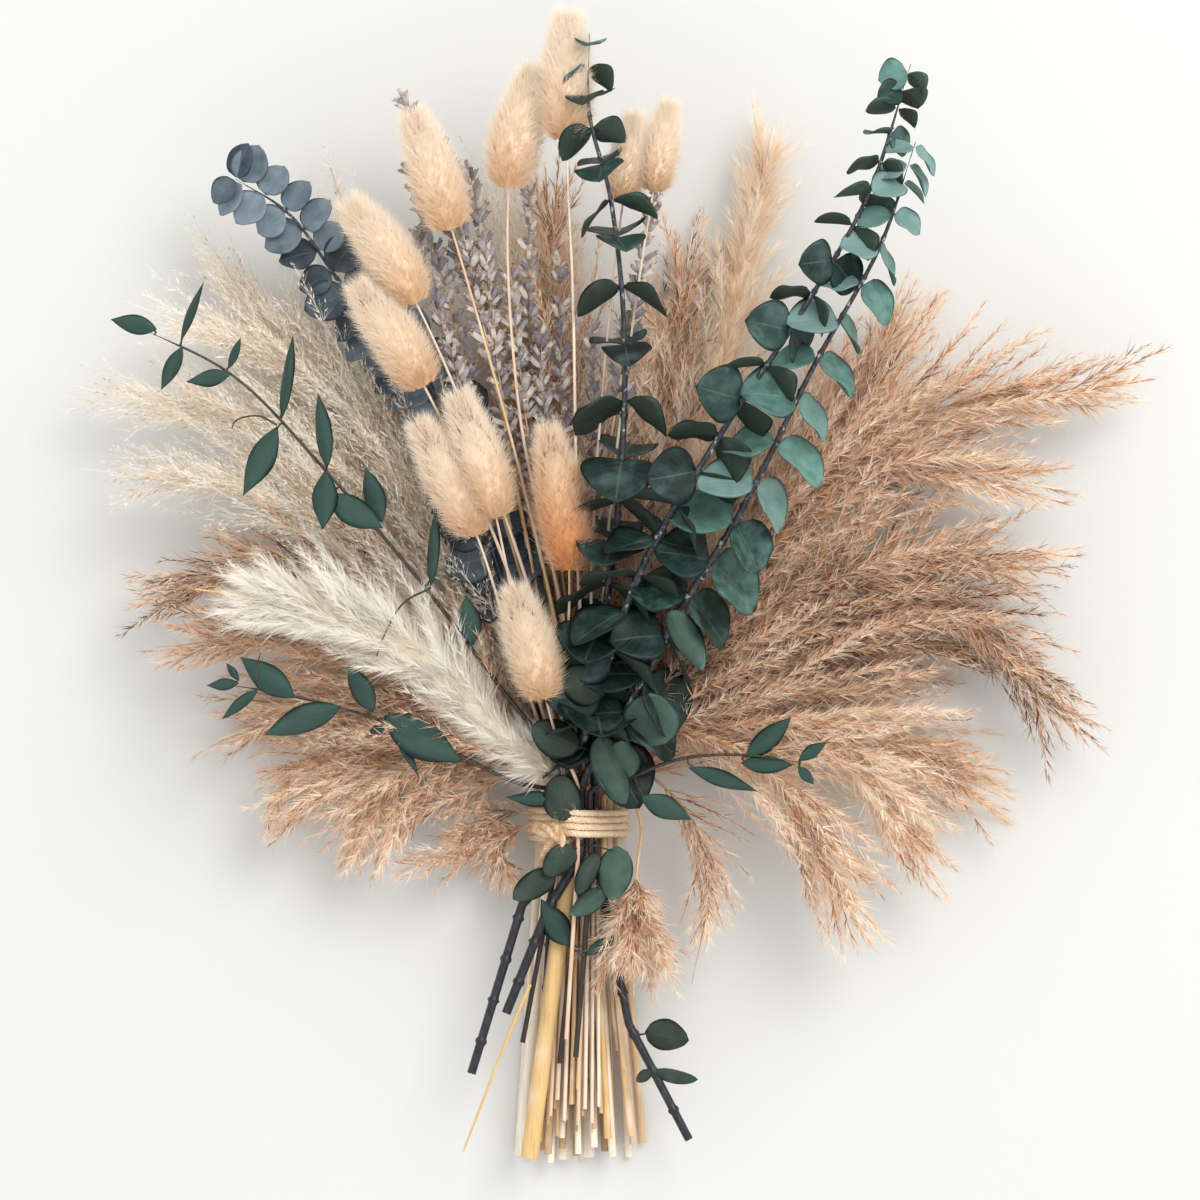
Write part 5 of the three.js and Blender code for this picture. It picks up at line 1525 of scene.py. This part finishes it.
TWINE_DIAMETER = 3.0
TWINE_TURNS = 4
TURNS_OVER = 0.15         # the winding goes on a little past its last whole turn
TWINE_MIDDLE = 1.0        # mm from the tie, the middle of the winding
TURNS_AHEAD = 0.35        # and how far it starts past its lower edge
WINDING_STEPS = 420
TWINE_STEP = 0.7          # mm between two points of its plies
CLEAR_OF_STEMS = 0.4      # mm between the twine and the stems that it is drawn round
CLEAR_OF_SURFACE = 0.1
LOOK_ASIDE = 0.12         # radians to each side, where its way round is measured
PLY_TWIST = 5.5           # mm along the twine for one turn of its plies
PLIES = 3
PLY_SIDES = 6
PLY_OUT, PLY_RADIUS = 0.5, 0.56         # shares of the twine's radius
PLY_HELPER = (0.1, 1.0, 0.2)            # a way that no twine follows
KNOT_WAY = 2.42           # radians from the right, where the knot sits on the winding
KNOT_OFF = (-1.5, 0.5, 1.8)             # mm from the winding's first point to the knot
# The knot's loops and its two loose ends, in mm from the knot.
KNOT_LENGTHS = (
    ((5, -5, -2), (3, -3, 1), (0, 0, 3), (-3, 3, 2), (-6, 5, -3)),
    ((5, 5, -2), (3, 3, 0), (0, 1, 1), (-3, -2, 0), (-6, -5, -4)),
    ((-1, -6, -2), (1, -4, 2), (2, 0, 4), (0, 4, 3), (-2, 6, -2)),
    ((0, 0, 0), (-5, -5, -1), (-8, -13, -7)),
    ((0, 0, 0), (-6, 2, -1), (-10, 4, -10)),
)
FIBRES_ON_WINDING, FIBRES_ON_KNOT = 1.2, 7.0          # for each mm of twine
TWINE_TONE = 0.5


def ring_reach(angle, circles, offset):
    return offset + max(x * math.cos(angle) + z * math.sin(angle) + r for x, z, r in circles)


def twine_path(circles):
    """The winding's centre line, in mm: a helix drawn tight round every stem."""
    points = []
    for i in range(WINDING_STEPS + 1):
        turn = i / WINDING_STEPS * (TWINE_TURNS + TURNS_OVER)
        angle = 2 * math.pi * turn + KNOT_WAY
        reach = CLEAR_OF_STEMS + 0.5 * TWINE_DIAMETER
        a, b = angle - LOOK_ASIDE, angle + LOOK_ASIDE
        ra, rb = ring_reach(a, circles, reach), ring_reach(b, circles, reach)
        x = (ra * math.sin(b) - rb * math.sin(a)) / math.sin(b - a)
        z = (rb * math.cos(a) - ra * math.cos(b)) / math.sin(b - a)
        y = TWINE_MIDDLE - 0.5 * TWINE_TURNS * TWINE_DIAMETER + TWINE_DIAMETER * (turn + TURNS_AHEAD)
        points.append((x, y, max(z, 0.5 * TWINE_DIAMETER + CLEAR_OF_SURFACE)))
    return np.array(points)


def plies_round(path, radius, seed):
    """The twisted plies of one length of twine."""
    run = lengths_along(path)
    tangents = np.gradient(path, axis=0)
    tangents /= np.linalg.norm(tangents, axis=1)[:, None]
    side = np.cross(tangents, PLY_HELPER)
    side /= np.linalg.norm(side, axis=1)[:, None]
    lift = np.cross(tangents, side)
    draws = np.random.default_rng(seed)
    made = []
    for ply in range(PLIES):
        phase = 2 * math.pi * (run / PLY_TWIST + ply / PLIES)
        offset = side * np.cos(phase)[:, None] + lift * np.sin(phase)[:, None]
        made.append((path + PLY_OUT * radius * offset, [PLY_RADIUS * radius] * len(path), draws.random()))
    return made


def dress_twine(kit):
    """The binding: its winding, knot and loose ends, each of twisted plies with stray fibres."""
    circles = [(stalk.tie_x, stalk.waist, stalk.radius) for _, _, stalks in LAYERS for stalk in stalks]
    path = twine_path(circles)
    knot = path[0] + np.array(KNOT_OFF)
    lengths = [resampled(path, TWINE_STEP)]
    for corners in KNOT_LENGTHS:
        bent = curve_through([knot + np.array(corner, float) for corner in corners], steps=12)
        lengths.append(resampled(bent, TWINE_STEP))
    plies = [ply for i, one in enumerate(lengths)
             for ply in plies_round(one, 0.5 * TWINE_DIAMETER, PLY_SEED + i)]
    meshes = [kit.grow("twine", "stem", line_mesh("twine_lines", plies), "jute", Sides=PLY_SIDES)]
    for i, one in enumerate(lengths):
        name, run = f"twine_fibres_{i}", lengths_along(one)[-1]
        count = int(run * (FIBRES_ON_KNOT if i else FIBRES_ON_WINDING))
        meshes.append(kit.grow(name, "tuft", growing_line(name, one, TWINE_TONE), "jute", "bunny",
                               Head_from=0.0, Head_to=run * MM, Count=count, Seed=FIBRE_SEED + i,
                               **TUFTS["twine"]))
    piece = joined_piece("twine", meshes)
    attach(piece, "root")
    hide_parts("twine")


# --------------------------------------------------------------- surface, light, camera

SURFACE_HALF = 6.0
CAMERA_OVER = (9.5, 99.3)      # mm from the tie, the middle of the picture
CAMERA_HEIGHT = 4.0
SENSOR = 36.0
VIEW_WIDTH = 0.516             # metres across the picture, at the bundle's middle height
VIEW_DEPTH = 0.05
ROOM_LIGHT = 0.95
ROOM_TINT = (0.97, 0.985, 1.0, 1.0)
WINDOW_AT = (1.1, 1.5, 2.4)
WINDOW_AIM = (0, 0.1, 0)
WINDOW_SIZE = 1.7
WINDOW_POWER = 44
WINDOW_TINT = (1.0, 0.98, 0.95)


def make_surface():
    half = SURFACE_HALF
    corners = [(-half, -half, 0), (half, -half, 0), (half, half, 0), (-half, half, 0)]
    floor = bpy.data.objects.new("surface", mesh_from("surface", corners, [(0, 1, 2, 3)]))
    bpy.context.scene.collection.objects.link(floor)
    floor.data.materials.append(floor_finish())


def make_studio():
    """An even room light, and a soft window beside the bunch's head."""
    world = bpy.data.worlds.new("studio")
    world.use_nodes = True
    world.node_tree.nodes["Background"].inputs["Color"].default_value = ROOM_TINT
    world.node_tree.nodes["Background"].inputs["Strength"].default_value = ROOM_LIGHT
    bpy.context.scene.world = world
    data = bpy.data.lights.new("window", "AREA")
    data.shape, data.size, data.energy, data.color = "DISK", WINDOW_SIZE, WINDOW_POWER, WINDOW_TINT
    lamp = bpy.data.objects.new("window", data)
    lamp.location = WINDOW_AT
    lamp.rotation_euler = (Vector(WINDOW_AIM) - Vector(WINDOW_AT)).to_track_quat("-Z", "Y").to_euler()
    bpy.context.scene.collection.objects.link(lamp)
    bpy.context.scene.view_settings.view_transform = "Standard"


def make_camera():
    data = bpy.data.cameras.new("camera")
    data.sensor_width = SENSOR
    data.lens = SENSOR * (CAMERA_HEIGHT - VIEW_DEPTH) / VIEW_WIDTH
    camera = bpy.data.objects.new("camera", data)
    camera.location = (CAMERA_OVER[0] * MM, CAMERA_OVER[1] * MM, CAMERA_HEIGHT)
    bpy.context.scene.collection.objects.link(camera)
    bpy.context.scene.camera = camera


def main():
    lay_out_tie()
    make_surface()
    make_studio()
    make_camera()
    kit = Kit()
    stalks = [stalk for _, _, layer in LAYERS for stalk in layer]
    for number, stalk in enumerate(stalks):
        dress(stalk, number, kit)
    dress_twine(kit)


main()
